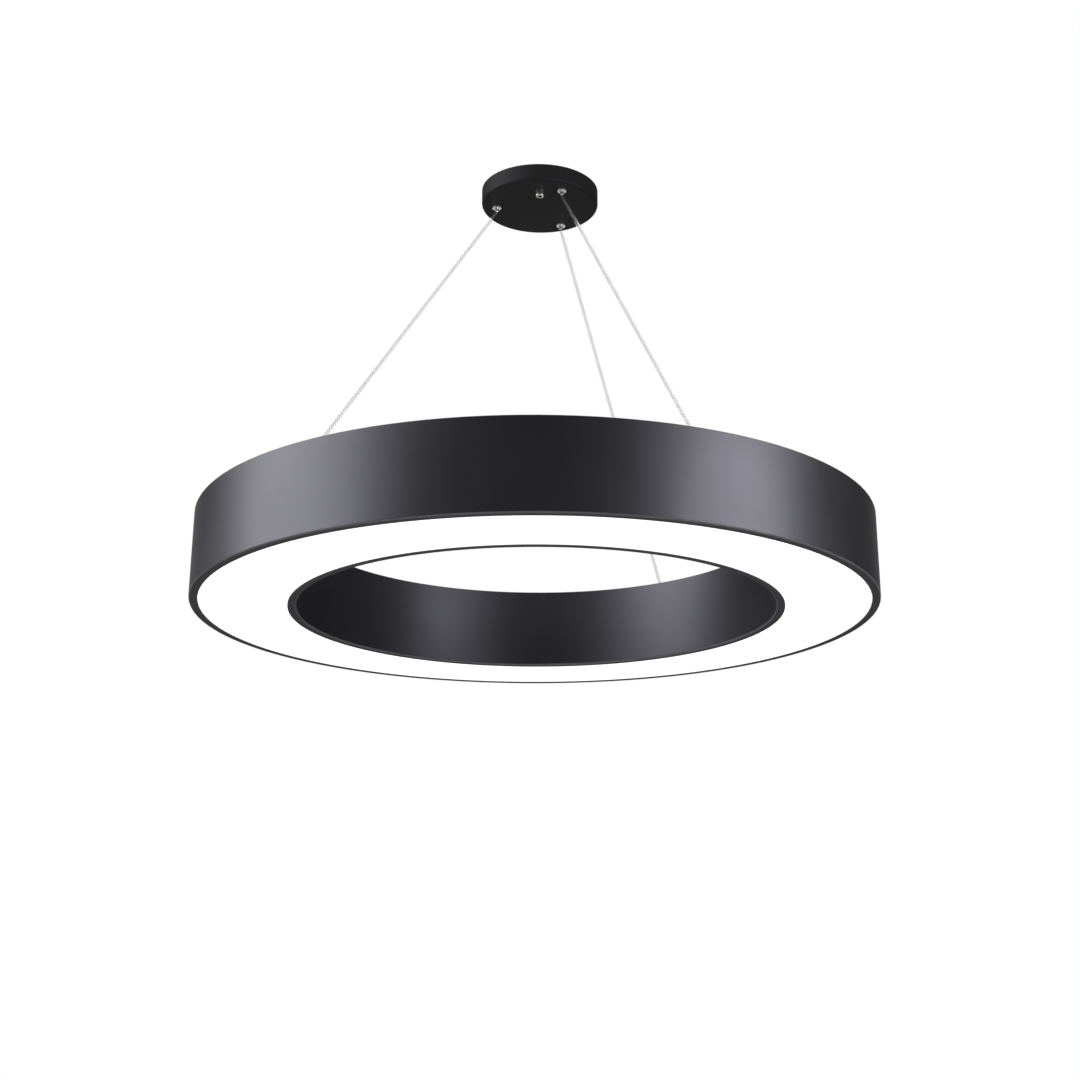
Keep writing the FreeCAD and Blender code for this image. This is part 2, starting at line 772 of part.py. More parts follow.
def quarter_turn_arcs(start, start_way, end, end_way):
    """Two arcs that leave start along start_way and reach end along end_way, tangent where they meet."""
    chord = end - start
    ways = start_way + end_way
    square = 2 * start_way.dot(end_way) - 2
    linear = -2 * chord.dot(ways)
    reach = (-linear - math.sqrt(linear ** 2 - 4 * square * chord.dot(chord))) / (2 * square)
    first_corner = start + start_way * reach
    last_corner = end - end_way * reach
    middle = (first_corner + last_corner) * 0.5
    arcs = []
    for begin, corner, finish in ((start, first_corner, middle), (middle, last_corner, end)):
        half_turn = (corner - begin).getAngle(finish - corner) / 2
        weight = math.cos(half_turn)
        through = (begin + corner * (2 * weight) + finish) * (1 / (2 + 2 * weight))
        arcs.append(Part.Arc(begin, through, finish).toShape())
    return arcs


def swept_tube(edges, radius):
    """A round bar along a smooth path, with its volume compared with section times length."""
    path = Part.Wire(edges)
    first = path.Edges[0]
    start = first.valueAt(first.FirstParameter)
    way = first.tangentAt(first.FirstParameter)
    ring = Part.Wire([Part.Circle(start, way, radius).toShape()])
    tube = path.makePipeShell([ring], True, False)
    expected = math.pi * radius ** 2 * path.Length
    if abs(tube.Volume / expected - 1) * 100 > TUBE_TOLERANCE:
        raise RuntimeError(f"tube volume {tube.Volume:.2f}, expected {expected:.2f}")
    return tube


def make_spring(point, angle):
    """Compression spring between the ball cage and the gripper's end cap."""
    coil = size("spring_coil_radius")
    low = size(f"{CAGE_TOP} + spring_wire_radius + spring_end_gap")
    high = size(f"{CAP_UNDERSIDE} - spring_wire_radius - spring_end_gap")
    quarters = 4 * int(size("spring_turns"))
    climb = (high - low) / quarters
    ends = []
    for index in range(quarters + 1):
        turn = math.pi / 2 * index
        at = Vector(coil * math.cos(turn), coil * math.sin(turn), low + climb * index)
        way = Vector(-math.sin(turn), math.cos(turn), climb / (coil * math.pi / 2))
        ends.append((at, way.normalize()))
    edges = []
    for (start, start_way), (end, end_way) in zip(ends, ends[1:]):
        edges += quarter_turn_arcs(start, start_way, end, end_way)
    spring = doc.addObject("Part::Feature", f"gripper_spring_{point}")
    spring.Label = spring.Name
    spring.Shape = swept_tube(edges, size("spring_wire_radius"))
    turn_gap = 4 * climb - 2 * size("spring_wire_radius")
    print(f"gripper_spring_{point}: least gap between turns {turn_gap:.2f} mm")
    place_on_circle(spring, "gripper_circle_radius", angle, "-canopy_height")
    subparts.append(spring)


# Suspension wires

def wire_slant():
    """Angle from the vertical at which a taut wire runs from its gripper to its anchor."""
    bend = size("wire_bend_radius")
    across = size(f"{SECTION_MIDDLE} - gripper_circle_radius") - bend
    down = size(
        f"-canopy_height + {PLUNGER_MOUTH} - wire_straight_at_mouth - {PLATE_FACE} - anchor_ball_height"
    )
    return math.acos(-bend / math.hypot(across, down)) - math.atan2(down, across)


def make_wire(point, angle):
    """Sheathed span of a wire: straight out of the gripper, round its mouth, then taut to the ring."""
    slant = wire_slant()
    bend = size("wire_bend_radius")
    exit_radius = size("gripper_circle_radius")
    mouth = size(f"-canopy_height + {PLUNGER_MOUTH}")
    bend_height = mouth - size("wire_straight_at_mouth")

    def on_bend(turn):
        return Vector(exit_radius + bend * (1 - math.cos(turn)), 0, bend_height - bend * math.sin(turn))

    start = Vector(exit_radius, 0, mouth)
    ball = Vector(size(SECTION_MIDDLE), 0, size(f"{PLATE_FACE} + anchor_ball_height"))
    way = Vector(math.sin(slant), 0, -math.cos(slant))
    end = ball - way * size("end_ball_flat")
    edges = [
        Part.LineSegment(start, on_bend(0)).toShape(),
        Part.Arc(on_bend(0), on_bend(slant / 2), on_bend(slant)).toShape(),
        Part.LineSegment(on_bend(slant), end).toShape(),
    ]
    wire = doc.addObject("Part::Feature", f"suspension_wire_{point}")
    wire.Label = wire.Name
    wire.Shape = swept_tube(edges, size("sheath_radius"))
    length = sum(edge.Length for edge in edges)
    print(f"suspension_wire_{point}: length {length:.1f} mm, bend radius {bend:.1f} mm")
    place(wire, turn=angle)
    subparts.append(wire)


def make_wire_tails():
    """Bare upper ends of the wires, inside the grippers and trimmed above them."""
    body = new_body("wire_tails")
    sketch = new_sketch(body, "XY_Plane", "section", PLUNGER_MOUTH)
    draw_circle(sketch, "wire_radius", "gripper_circle_radius", "0")
    tail_top = "gripper_shank_height + gripper_cap_thickness + wire_tail_above_cap"
    tail = pad(body, sketch, f"{tail_top} - {PLUNGER_MOUTH}")
    around(body, tail, str(len(SUSPENSION_POINTS)))
    place(body, up="-canopy_height", turn="wire_angle")


# Wire anchors on the ring

def make_anchor(point, angle):
    """Slotted swivel cup: the ball end goes in from outside and hangs in the cup under tension."""
    body = new_body(f"wire_anchor_{point}")
    section = turned(body, [
        ("0", "-anchor_shank_length"),
        ("anchor_shank_radius", "-anchor_shank_length"),
        ("anchor_shank_radius", "0"),
        ("anchor_cup_radius", "0"),
        ("anchor_cup_radius", "anchor_cup_height"),
        ("0", "anchor_cup_height"),
    ])
    chamfer_edge(body, section, [("anchor_cup_radius", "anchor_cup_height")], "anchor_cup_chamfer")
    seat = body.newObject("PartDesign::SubtractiveSphere", f"{body.Name}_seat")
    seat.setExpression("Radius", bound("end_ball_radius + end_ball_clearance"))
    seat.AttachmentSupport = [(origin_feature(body, "XY_Plane"), "")]
    seat.MapMode = "FlatFace"
    seat.setExpression("AttachmentOffset.Base.z", bound("anchor_ball_height"))
    doc.recompute()
    entry = new_sketch(body, "YZ_Plane", "ball_entry")
    draw_circle(entry, "end_ball_radius + end_ball_clearance", "0", "anchor_ball_height")
    cut(body, entry, "anchor_cup_radius", backwards=True)
    slot = new_sketch(body, "XZ_Plane", "wire_slot")
    draw_rectangle(
        slot, "-anchor_cup_radius", "anchor_cup_radius", "anchor_ball_height", "anchor_cup_height",
    )
    cut(body, slot, "2 * (sheath_radius + anchor_slot_clearance)", side="Symmetric")
    place_on_circle(body, SECTION_MIDDLE, angle, PLATE_FACE)


def make_wire_end(point, angle):
    """Ball end of a wire, with a flat where the wire's end meets it."""
    body = new_body(f"wire_end_ball_{point}")
    ball = body.newObject("PartDesign::AdditiveSphere", f"{body.Name}_ball")
    ball.setExpression("Radius", bound("end_ball_radius"))
    doc.recompute()
    flat = new_sketch(body, "XY_Plane", "flat", "end_ball_radius")
    draw_circle(flat, "end_ball_radius")
    cut(body, flat, "end_ball_radius - end_ball_flat")
    turn = math.radians(size(angle))
    radius = size(SECTION_MIDDLE)
    height = size(f"{PLATE_FACE} + anchor_ball_height")
    centre = Vector(radius * math.cos(turn), radius * math.sin(turn), height)
    lean = Rotation(Vector(0, 1, 0), -math.degrees(wire_slant()))
    body.Placement = Placement(centre, Rotation(Vector(0, 0, 1), math.degrees(turn)) * lean)


def make_anchor_fastenings():
    """Washers and lock nuts under the top plate, one of each at every anchor."""
    washers = new_body("anchor_washers")
    nuts = new_body("anchor_nuts")
    bore = "anchor_shank_radius + thread_clearance"
    count = str(len(SUSPENSION_POINTS))
    washer = new_sketch(washers, "XY_Plane", "washer")
    draw_circle(washer, "anchor_washer_radius", SECTION_MIDDLE)
    draw_circle(washer, bore, SECTION_MIDDLE)
    around(washers, pad(washers, washer, "anchor_washer_thickness", backwards=True), count)
    nut = new_sketch(nuts, "XY_Plane", "nut", "-anchor_washer_thickness")
    draw_hexagon(nut, "anchor_nut_flats", SECTION_MIDDLE)
    draw_circle(nut, bore, SECTION_MIDDLE)
    around(nuts, pad(nuts, nut, "anchor_nut_height", backwards=True), count)
    for body in (washers, nuts):
        place(body, up=f"{RING_BOTTOM} + {PLATE_UNDERSIDE}", turn="wire_angle")


# Cord glands

def make_gland(owner, panel, radius, face, outward):
    """Gland through a panel. Heights count outward from the panel's outer face."""
    def height(distance):
        return f"{outward} * ({distance})"

    body = new_body(f"{owner}_gland_body")
    neck_top = "gland_collar_height + gland_neck_height"
    turned(body, [
        ("gland_bore_radius", height("-gland_shank_depth")),
        ("gland_shank_radius", height("-gland_shank_depth")),
        ("gland_shank_radius", height("0")),
        ("gland_collar_radius", height("0")),
        ("gland_collar_radius", height("gland_collar_height")),
        ("gland_neck_radius", height("gland_collar_height")),
        ("gland_neck_radius", height(neck_top)),
        ("gland_bore_radius", height(neck_top)),
    ])

    cap = new_body(f"{owner}_gland_cap")
    cap_top = "gland_collar_height + gland_cap_height"
    cap_ceiling = f"{cap_top} - gland_cap_wall"
    cap_section = turned(cap, [
        ("gland_neck_radius + gland_fit", height("gland_collar_height")),
        ("gland_cap_radius", height("gland_collar_height")),
        ("gland_cap_radius", height(cap_top)),
        ("gland_mouth_radius", height(cap_top)),
        ("gland_mouth_radius", height(cap_ceiling)),
        ("gland_neck_radius + gland_fit", height(cap_ceiling)),
    ])
    round_edge(cap, cap_section, [("gland_cap_radius", height(cap_top))], "gland_cap_corner_radius")

    seal = new_body(f"{owner}_gland_seal")
    turned(seal, [
        ("gland_cord_radius", height(neck_top)),
        ("gland_neck_radius", height(neck_top)),
        ("gland_neck_radius", height(cap_ceiling)),
        ("gland_cord_radius", height(cap_ceiling)),
    ])

    nut = new_body(f"{owner}_gland_nut")
    flats = new_sketch(nut, "XY_Plane", "flats", height(f"-{panel}"))
    draw_hexagon(flats, "gland_nut_flats")
    draw_circle(flats, "gland_shank_radius + thread_clearance")
    pad(nut, flats, "gland_nut_height", backwards=outward > 0)
    for piece in (body, cap, seal, nut):
        place_on_circle(piece, radius, "gland_angle", face)


# Canopy

def make_canopy_cover():
    body = new_body("canopy_cover")
    inner = "canopy_radius - canopy_wall"
    floor = "-canopy_height + canopy_wall"
    cup = turned(body, [
        (inner, "0"),
        ("canopy_radius", "0"),
        ("canopy_radius", "-canopy_height"),
        ("0", "-canopy_height"),
        ("0", floor),
        (inner, floor),
    ])
    outside = round_edge(body, cup, [("canopy_radius", "-canopy_height")], "canopy_corner_radius")
    round_edge(body, outside, [(inner, floor)], "canopy_corner_radius - canopy_wall")
    hole_circle(
        body, "gripper_holes", "gripper_shank_radius + screw_clearance", "gripper_circle_radius",
        "wire_angle", str(len(SUSPENSION_POINTS)), floor, "canopy_wall",
    )
    hole_circle(
        body, "gland_hole", "gland_shank_radius + screw_clearance", "gland_offset",
        "gland_angle", "1", floor, "canopy_wall",
    )
    side_holes = new_sketch(body, "YZ_Plane", "side_holes")
    draw_circle(side_holes, "large_screw_radius + screw_clearance", "0", "-side_screw_depth")
    cut(body, side_holes, side="Symmetric")


def bend_edges(feature, across, up):
    """Names of the straight edges along Y at a place in the bracket's side view."""
    names = []
    for index, edge in enumerate(feature.Shape.Edges, start=1):
        misses = [
            math.hypot(vertex.X - size(across), vertex.Z - size(up)) for vertex in edge.Vertexes
        ]
        if max(misses) < EDGE_TOLERANCE:
            names.append(f"Edge{index}")
    return names


def make_ceiling_bracket():
    """Strip with two legs, slotted for the ceiling screws and drilled for the pieces on it."""
    body = new_body("ceiling_bracket")
    inner = f"({BRACKET_REACH} - bracket_thickness)"
    side_view = new_sketch(body, "XZ_Plane", "side_view")
    draw_outline(side_view, [
        (f"-{BRACKET_REACH}", "-bracket_leg_depth"),
        (f"-{BRACKET_REACH}", "0"),
        (BRACKET_REACH, "0"),
        (BRACKET_REACH, "-bracket_leg_depth"),
        (inner, "-bracket_leg_depth"),
        (inner, "-bracket_thickness"),
        (f"-{inner}", "-bracket_thickness"),
        (f"-{inner}", "-bracket_leg_depth"),
    ])
    strip = pad(body, side_view, "bracket_width", side="Symmetric")
    bends = body.newObject("PartDesign::Fillet", "bracket_bends")
    corners = bend_edges(strip, BRACKET_REACH, "0") + bend_edges(strip, f"-{BRACKET_REACH}", "0")
    bends.Base = (strip, corners)
    bends.setExpression("Radius", bound("bracket_bend_radius"))
    doc.recompute()

    half_run = "((ceiling_slot_length - ceiling_slot_width) / 2)"
    for side in (-1, 1):
        middle = f"({side} * ceiling_slot_spacing / 2)"
        run = new_sketch(body, "XY_Plane", f"slot_run_{side + 1}")
        draw_rectangle(
            run,
            f"{middle} - {half_run}", f"{middle} + {half_run}",
            "-ceiling_slot_width / 2", "ceiling_slot_width / 2",
        )
        cut(body, run, "bracket_thickness")
        for end in (-1, 1):
            round_end = new_sketch(body, "XY_Plane", f"slot_end_{side + 1}_{end + 1}")
            draw_circle(round_end, "ceiling_slot_width / 2", f"{middle} + {end} * {half_run}")
            cut(body, round_end, "bracket_thickness")
        block_thread = new_sketch(body, "XY_Plane", f"block_thread_{side + 1}")
        draw_circle(block_thread, "small_screw_radius", f"{side} * pole_pitch / 2")
        cut(body, block_thread, "bracket_thickness")
    earth_thread = new_sketch(body, "XY_Plane", "earth_thread")
    draw_circle(earth_thread, "large_screw_radius", "earth_screw_offset")
    cut(body, earth_thread, "bracket_thickness")
    side_threads = new_sketch(body, "YZ_Plane", "side_threads")
    draw_circle(side_threads, "large_screw_radius", "0", "-side_screw_depth")
    cut(body, side_threads, side="Symmetric")


def make_canopy_screws():
    """Two socket screws that hold the cover on the bracket's legs, and the earth screw."""
    body = new_body("cover_side_screws")
    outer_end = "(canopy_radius - screw_clearance)"
    for side in (-1, 1):
        shank = new_sketch(body, "YZ_Plane", f"shank_{side + 1}", f"{side} * {outer_end}")
        draw_circle(shank, "large_screw_radius - thread_clearance", "0", "-side_screw_depth")
        pad(body, shank, "side_screw_length", backwards=side > 0)
        socket = new_sketch(body, "YZ_Plane", f"socket_{side + 1}", f"{side} * {outer_end}")
        draw_hexagon(socket, "side_screw_socket_flats", "0", "-side_screw_depth")
        cut(body, socket, "side_screw_socket_depth", backwards=side < 0)
    earth = new_body("earth_screw")
    add_screw(earth, "large", "screw", "earth_screw_offset", "0", "bracket_thickness", head_up=False)
    place(earth, up="-bracket_thickness")


def pole_places():
    """Expressions of the poles' places along the terminal block."""
    count = int(size("pole_count"))
    return [f"({index} - (pole_count - 1) / 2) * pole_pitch" for index in range(count)]


def make_terminal_block():
    block = new_body("terminal_block")
    sleeves = new_body("terminal_sleeves")
    clamp_screws = new_body("terminal_clamp_screws")
    fixing_screws = new_body("terminal_fixing_screws")
    base = new_sketch(block, "XY_Plane", "base", "-bracket_thickness")
    draw_rectangle(base, "-block_length / 2", "block_length / 2", "-block_width / 2", "block_width / 2")
    pad(block, base, "block_height", backwards=True)
    screw_seat = "(small_head_height + clamp_screw_recess)"
    for side in (-1, 1):
        middle = f"({side} * pole_pitch / 2)"
        gap = new_sketch(block, "XY_Plane", f"pole_gap_{side + 1}", BLOCK_BOTTOM)
        draw_rectangle(
            gap,
            f"{middle} - pole_gap_width / 2", f"{middle} + pole_gap_width / 2",
            "-block_width / 2", "block_width / 2",
        )
        cut(block, gap, "pole_gap_depth", backwards=True)
        hole = new_sketch(block, "XY_Plane", f"fixing_hole_{side + 1}", BLOCK_BOTTOM)
        draw_circle(hole, "small_screw_radius + block_fit", middle)
        cut(block, hole, "block_height", backwards=True)
        recess = new_sketch(block, "XY_Plane", f"fixing_recess_{side + 1}", BLOCK_BOTTOM)
        draw_circle(recess, "small_head_radius + block_fit", middle)
        cut(block, recess, screw_seat, backwards=True)
        shank = f"block_height - {screw_seat} + bracket_thickness"
        add_screw(fixing_screws, "small", f"screw_{side + 1}", middle, "0", shank, head_up=False)
    place(fixing_screws, up=f"{BLOCK_BOTTOM} + {screw_seat}")

    for pole, middle in enumerate(pole_places()):
        bore = new_sketch(block, "XZ_Plane", f"sleeve_bore_{pole}")
        draw_circle(bore, "sleeve_radius + block_fit", middle, SLEEVE_HEIGHT)
        cut(block, bore, side="Symmetric")
        sleeve = new_sketch(sleeves, "XZ_Plane", f"sleeve_{pole}")
        draw_circle(sleeve, "sleeve_radius", middle, SLEEVE_HEIGHT)
        draw_circle(sleeve, "sleeve_bore_radius", middle, SLEEVE_HEIGHT)
        pad(sleeves, sleeve, "sleeve_length", side="Symmetric")
        for side in (-1, 1):
            offset = f"{side} * clamp_screw_offset"
            well = new_sketch(block, "XY_Plane", f"well_{pole}_{side + 1}", BLOCK_BOTTOM)
            draw_circle(well, "clamp_screw_radius + block_fit", middle, offset)
            cut(block, well, "block_height - sleeve_depth", backwards=True)
            head = new_sketch(
                clamp_screws, "XY_Plane", f"screw_{pole}_{side + 1}",
                f"{BLOCK_BOTTOM} + clamp_screw_recess",
            )
            draw_circle(head, "clamp_screw_radius", middle, offset)
            pad(
                clamp_screws, head,
                "block_height - sleeve_depth - sleeve_radius - clamp_screw_recess - thread_clearance",
            )


# The whole pendant

make_wall_profile("outer_profile", "ring_outer_radius", "-", OUTER_PLATE_SCREWS, OUTER_TRAY_SCREWS)
make_wall_profile("inner_profile", "ring_inner_radius", "+", INNER_PLATE_SCREWS, INNER_TRAY_SCREWS)
make_top_plate()
make_screw_circles(
    "top_plate_screws", "large", (("outer", OUTER_PLATE_SCREWS), ("inner", INNER_PLATE_SCREWS)),
    "plate_screws_per_circle", "plate_screw_start_angle", PLATE_TOP,
)
make_led_tray()
make_screw_circles(
    "tray_screws", "small", (("outer", OUTER_TRAY_SCREWS), ("inner", INNER_TRAY_SCREWS)),
    "tray_screws_per_circle", "tray_screw_start_angle", f"{TRAY_UNDERSIDE} + tray_thickness",
)
make_led_boards()
make_led_chips()
make_diffuser()
make_driver()
for suspension_point, suspension_angle in suspension_angles():
    make_gripper(suspension_point, suspension_angle)
    make_spring(suspension_point, suspension_angle)
    make_wire(suspension_point, suspension_angle)
    make_anchor(suspension_point, suspension_angle)
    make_wire_end(suspension_point, suspension_angle)
make_wire_tails()
make_anchor_fastenings()
make_gland("ring", "top_plate_thickness", SECTION_MIDDLE, PLATE_FACE, 1)
make_gland("canopy", "canopy_wall", "gland_offset", "-canopy_height", -1)
make_canopy_cover()
make_ceiling_bracket()
make_canopy_screws()
make_terminal_block()
doc.recompute()

for item in doc.Objects:
    if "Invalid" in item.State or "Error" in item.State:
        raise RuntimeError(f"{item.Name} failed: {item.State}")
for subpart in subparts:
    if subpart.Shape.isNull() or not subpart.Shape.isValid():
        raise RuntimeError(f"{subpart.Label} has no valid shape")
for subpart in subparts:
    subpart.Shape.exportStep(f"parts/{subpart.Label}.step")
print(f"{len(subparts)} sub-parts written")
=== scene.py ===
import math

import bpy
from mathutils import Matrix, Vector


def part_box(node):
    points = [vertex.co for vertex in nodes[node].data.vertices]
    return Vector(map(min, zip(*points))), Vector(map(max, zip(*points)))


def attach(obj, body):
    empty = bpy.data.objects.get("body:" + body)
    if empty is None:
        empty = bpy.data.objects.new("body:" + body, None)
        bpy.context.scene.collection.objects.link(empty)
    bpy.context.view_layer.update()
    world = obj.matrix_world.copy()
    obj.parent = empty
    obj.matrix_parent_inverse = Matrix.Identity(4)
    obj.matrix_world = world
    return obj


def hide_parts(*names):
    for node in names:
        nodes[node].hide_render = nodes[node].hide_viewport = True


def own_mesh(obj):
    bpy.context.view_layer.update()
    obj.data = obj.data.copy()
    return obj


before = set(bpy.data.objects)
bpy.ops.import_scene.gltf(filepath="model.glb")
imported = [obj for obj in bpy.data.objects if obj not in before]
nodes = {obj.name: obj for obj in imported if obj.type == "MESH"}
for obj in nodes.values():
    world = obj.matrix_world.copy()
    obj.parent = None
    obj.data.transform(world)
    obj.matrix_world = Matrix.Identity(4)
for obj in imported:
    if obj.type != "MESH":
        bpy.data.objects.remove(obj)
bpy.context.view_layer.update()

# Looks of a round LED pendant: satin black ring, opal underside, three steel wires, black canopy.
# Lengths are metres and angles are radians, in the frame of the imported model.

MM = 0.001

# Camera at the photograph's viewing angle
CAMERA_PLACE = (0.0, -1.9481, -1.0416)
CAMERA_PITCH = 0.3346
CAMERA_YAW = 0.0507
CAMERA_ROLL = -0.0120
CAMERA_LENS = 56.574
CAMERA_SENSOR = 36.0
CAMERA_SHIFT = (-0.0741, -0.0741)

# Suspension: where the three wires hang, seen from above
SUSPENSION_ANGLES = {"left": math.pi, "near": -math.pi / 3, "far": math.pi / 3}
# A wire's route as distance from the lamp's axis and height: gripper mouth, bend, taut run, ball
WIRE_ROUTE = (
    (0.055, -0.028),
    (0.055, -0.030219),
    (0.068383, -0.050142),
    (0.338662, -0.452508),
)
WIRE_RADIUS = 1.5 * MM
SHEATH_RADIUS = 2.0 * MM
SHEATH_SIDES = 20
# Strands lie open, out against the clear sheath, and close together where the wire is bare
STRANDS = 5
OPEN_ROPE_RADIUS = 1.85 * MM
OPEN_STRAND_RADIUS = 0.12 * MM
CLOSED_STRAND_RADIUS = 0.5 * MM
STRAND_LAY = 20.0 * MM
STRAND_SIDES = 8
STRAND_STEP = 1.0 * MM
ROUTE_ORDER = 3
ROUTE_RESOLUTION = 256
GRIPPER_CIRCLE = WIRE_ROUTE[0][0]

# Gripper springs
SPRING_WIRE_RADIUS = 0.25 * MM
SPRING_TURNS = 3
SPRING_STEPS = 24
SPRING_SIDES = 8

# Pan-head screws of the top plate
SCREW_HEAD_RADIUS = 3.8 * MM
SCREW_HEAD_HEIGHT = 2.2 * MM
SCREW_HEAD_EDGE = 1.1 * MM
SCREW_CROWN_RADIUS = 0.3 * SCREW_HEAD_RADIUS
SCREW_DOME_STEPS = 5
# The lower this is, the flatter the dome and the tighter its shoulder
SCREW_DOME_POWER = 0.45
SCREW_SHANK_RADIUS = 1.95 * MM
SCREW_SHANK_LENGTH = 6.0 * MM
SCREW_SIDES = 40
RECESS_ARMS = 4
RECESS_REACH = 2.1 * MM
RECESS_HALF_WIDTH = 0.55 * MM
RECESS_DEPTH = 1.3 * MM
RECESS_TAPER = 0.45
SCREWS_PER_CIRCLE = 12
SCREW_START_ANGLE = math.radians(15)
SCREW_CIRCLES = (0.39395, 0.28605)
SCREW_SEAT = -0.459
# How far one screw's recess is turned from the next one's when all are tight
SCREW_TURN_STEP = math.radians(67)

# Lock nuts and threads inside the canopy
NUT_STEPS = 72
NUT_CHAMFER_SHARE = 0.95
NUT_CHAMFER_SLOPE = math.tan(math.radians(30))
GRIPPER_NUT_FLATS = 13.0 * MM
GRIPPER_SHANK_RADIUS = 5.0 * MM
GRIPPER_SHANK_TOP = -8.2 * MM
GLAND_PLACE = (0.0, -0.045)
GLAND_NUT_FLATS = 12.0 * MM
GLAND_SHANK_RADIUS = 4.0 * MM
GLAND_SHANK_TOP = -13.2 * MM
THREAD_PITCH = 1.0 * MM
THREAD_DEPTH = 0.3 * MM
# The thread's ridge: half its width at the foot and at the crest, and how deep its foot is sunk
RIDGE_HALF_FOOT = 0.45 * THREAD_PITCH
RIDGE_HALF_CREST = 0.15 * RIDGE_HALF_FOOT
RIDGE_SUNK = THREAD_DEPTH / 3
THREAD_STEPS = 36
THREAD_RUNOUT_STEPS = THREAD_STEPS // 4
THREAD_BORE_GAP = 0.1 * MM

SHARP_ANGLE = math.radians(35)


# Small helpers for meshes

def on_circle(radius, angle, height):
    return Vector((radius * math.cos(angle), radius * math.sin(angle), height))


def full_turn(count):
    """Angles of points spread evenly round a circle."""
    return [2 * math.pi * index / count for index in range(count)]


def new_piece(name, vertices, faces):
    """A mesh object, smooth apart from its sharp edges."""
    mesh = bpy.data.meshes.new(name)
    mesh.from_pydata([tuple(vertex) for vertex in vertices], [], faces)
    mesh.validate()
    mesh.shade_smooth()
    mesh.set_sharp_from_angle(angle=SHARP_ANGLE)
    piece = bpy.data.objects.new(name, mesh)
    bpy.context.scene.collection.objects.link(piece)
    return piece


def dress(piece, body, slot, replaced=None, finish=None):
    """Put a piece on its body, give it its finish and let it stand for a CAD node."""
    piece.data.materials.append(finish or finishes[slot])
    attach(piece, body)
    if replaced:
        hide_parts(replaced)


class Shape:
    """Vertices and faces gathered from several parts."""

    def __init__(self):
        self.vertices = []
        self.faces = []

    def add(self, vertices, faces, place=Matrix()):
        """Add a part's vertices and faces, moved to their place."""
        first = len(self.vertices)
        self.vertices += [place @ vertex for vertex in vertices]
        self.faces += [tuple(first + corner for corner in face) for face in faces]

    def piece(self, name):
        return new_piece(name, self.vertices, self.faces)


def skin(rings):
    """Faces between neighbouring rings of as many points, numbered in order."""
    faces = []
    count = len(rings[0])
    for ring in range(len(rings) - 1):
        low = ring * count
        for side in range(count):
            following = (side + 1) % count
            faces.append((low + side, low + following, low + count + following, low + count + side))
    return faces


def capped_tube(rings):
    """A closed skin over rings, with a face on each end."""
    count = len(rings[0])
    last = (len(rings) - 1) * count
    faces = skin(rings)
    faces.append(tuple(reversed(range(count))))
    faces.append(tuple(last + side for side in range(count)))
    return [point for ring in rings for point in ring], faces


def tube(centres, frames, radius, sides):
    """A capped round tube; frames hold two cross directions for each centre."""
    turns = full_turn(sides)
    rings = []
    for centre, (across, up) in zip(centres, frames):
        rings.append([centre + radius * (math.cos(t) * across + math.sin(t) * up) for t in turns])
    return capped_tube(rings)


def lathe(outline, sides):
    """A closed turned solid from an outline of radius and height, between two points off its axis."""
    turns = full_turn(sides)
    return capped_tube([[on_circle(radius, t, height) for t in turns] for radius, height in outline])


# Suspension wires

def route_line(name, route):
    """Points of the smooth line that a route's corners give."""
    curve = bpy.data.curves.new(name, "CURVE")
    curve.dimensions = "3D"
    spline = curve.splines.new("NURBS")
    spline.points.add(len(route) - 1)
    for point, place in zip(spline.points, route):
        point.co = (*place, 1.0)
    spline.order_u = ROUTE_ORDER
    spline.use_endpoint_u = True
    spline.resolution_u = ROUTE_RESOLUTION
    holder = bpy.data.objects.new(name, curve)
    line = bpy.data.meshes.new_from_object(holder)
    points = [vertex.co.copy() for vertex in line.vertices]
    bpy.data.objects.remove(holder)
    bpy.data.curves.remove(curve)
    bpy.data.meshes.remove(line)
    return points


def evenly_spaced(points, step):
    """The same line with points about a step apart."""
    lengths = [0.0]
    for before, after in zip(points, points[1:]):
        lengths.append(lengths[-1] + (after - before).length)
    count = round(lengths[-1] / step)
    spaced = []
    stretch = 0
    for index in range(count + 1):
        wanted = lengths[-1] * index / count
        while stretch < len(points) - 2 and lengths[stretch + 1] < wanted:
            stretch += 1
        run = lengths[stretch + 1] - lengths[stretch]
        share = (wanted - lengths[stretch]) / run if run else 0.0
        spaced.append(points[stretch].lerp(points[stretch + 1], share))
    return spaced


def cross_frames(points, side):
    """Cross directions along a line that lies in one plane; side is square to that plane."""
    frames = []
    for index in range(len(points)):
        before = points[max(index - 1, 0)]
        after = points[min(index + 1, len(points) - 1)]
        frames.append((side, (after - before).normalized().cross(side)))
    return frames


def lay_strands(rope, points, frames, rope_radius, strand_radius):
    """Steel rope along a line: strands laid round a straight one, out to the rope's radius."""
    rope.add(*tube(points, frames, strand_radius, STRAND_SIDES))
    step = (points[1] - points[0]).length
    circle = rope_radius - strand_radius
    for strand in range(STRANDS):
        centres = []
        for index, (point, (across, up)) in enumerate(zip(points, frames)):
            turn = 2 * math.pi * (strand / STRANDS + index * step / STRAND_LAY)
            centres.append(point + circle * (math.cos(turn) * across + math.sin(turn) * up))
        rope.add(*tube(centres, frames, strand_radius, STRAND_SIDES))


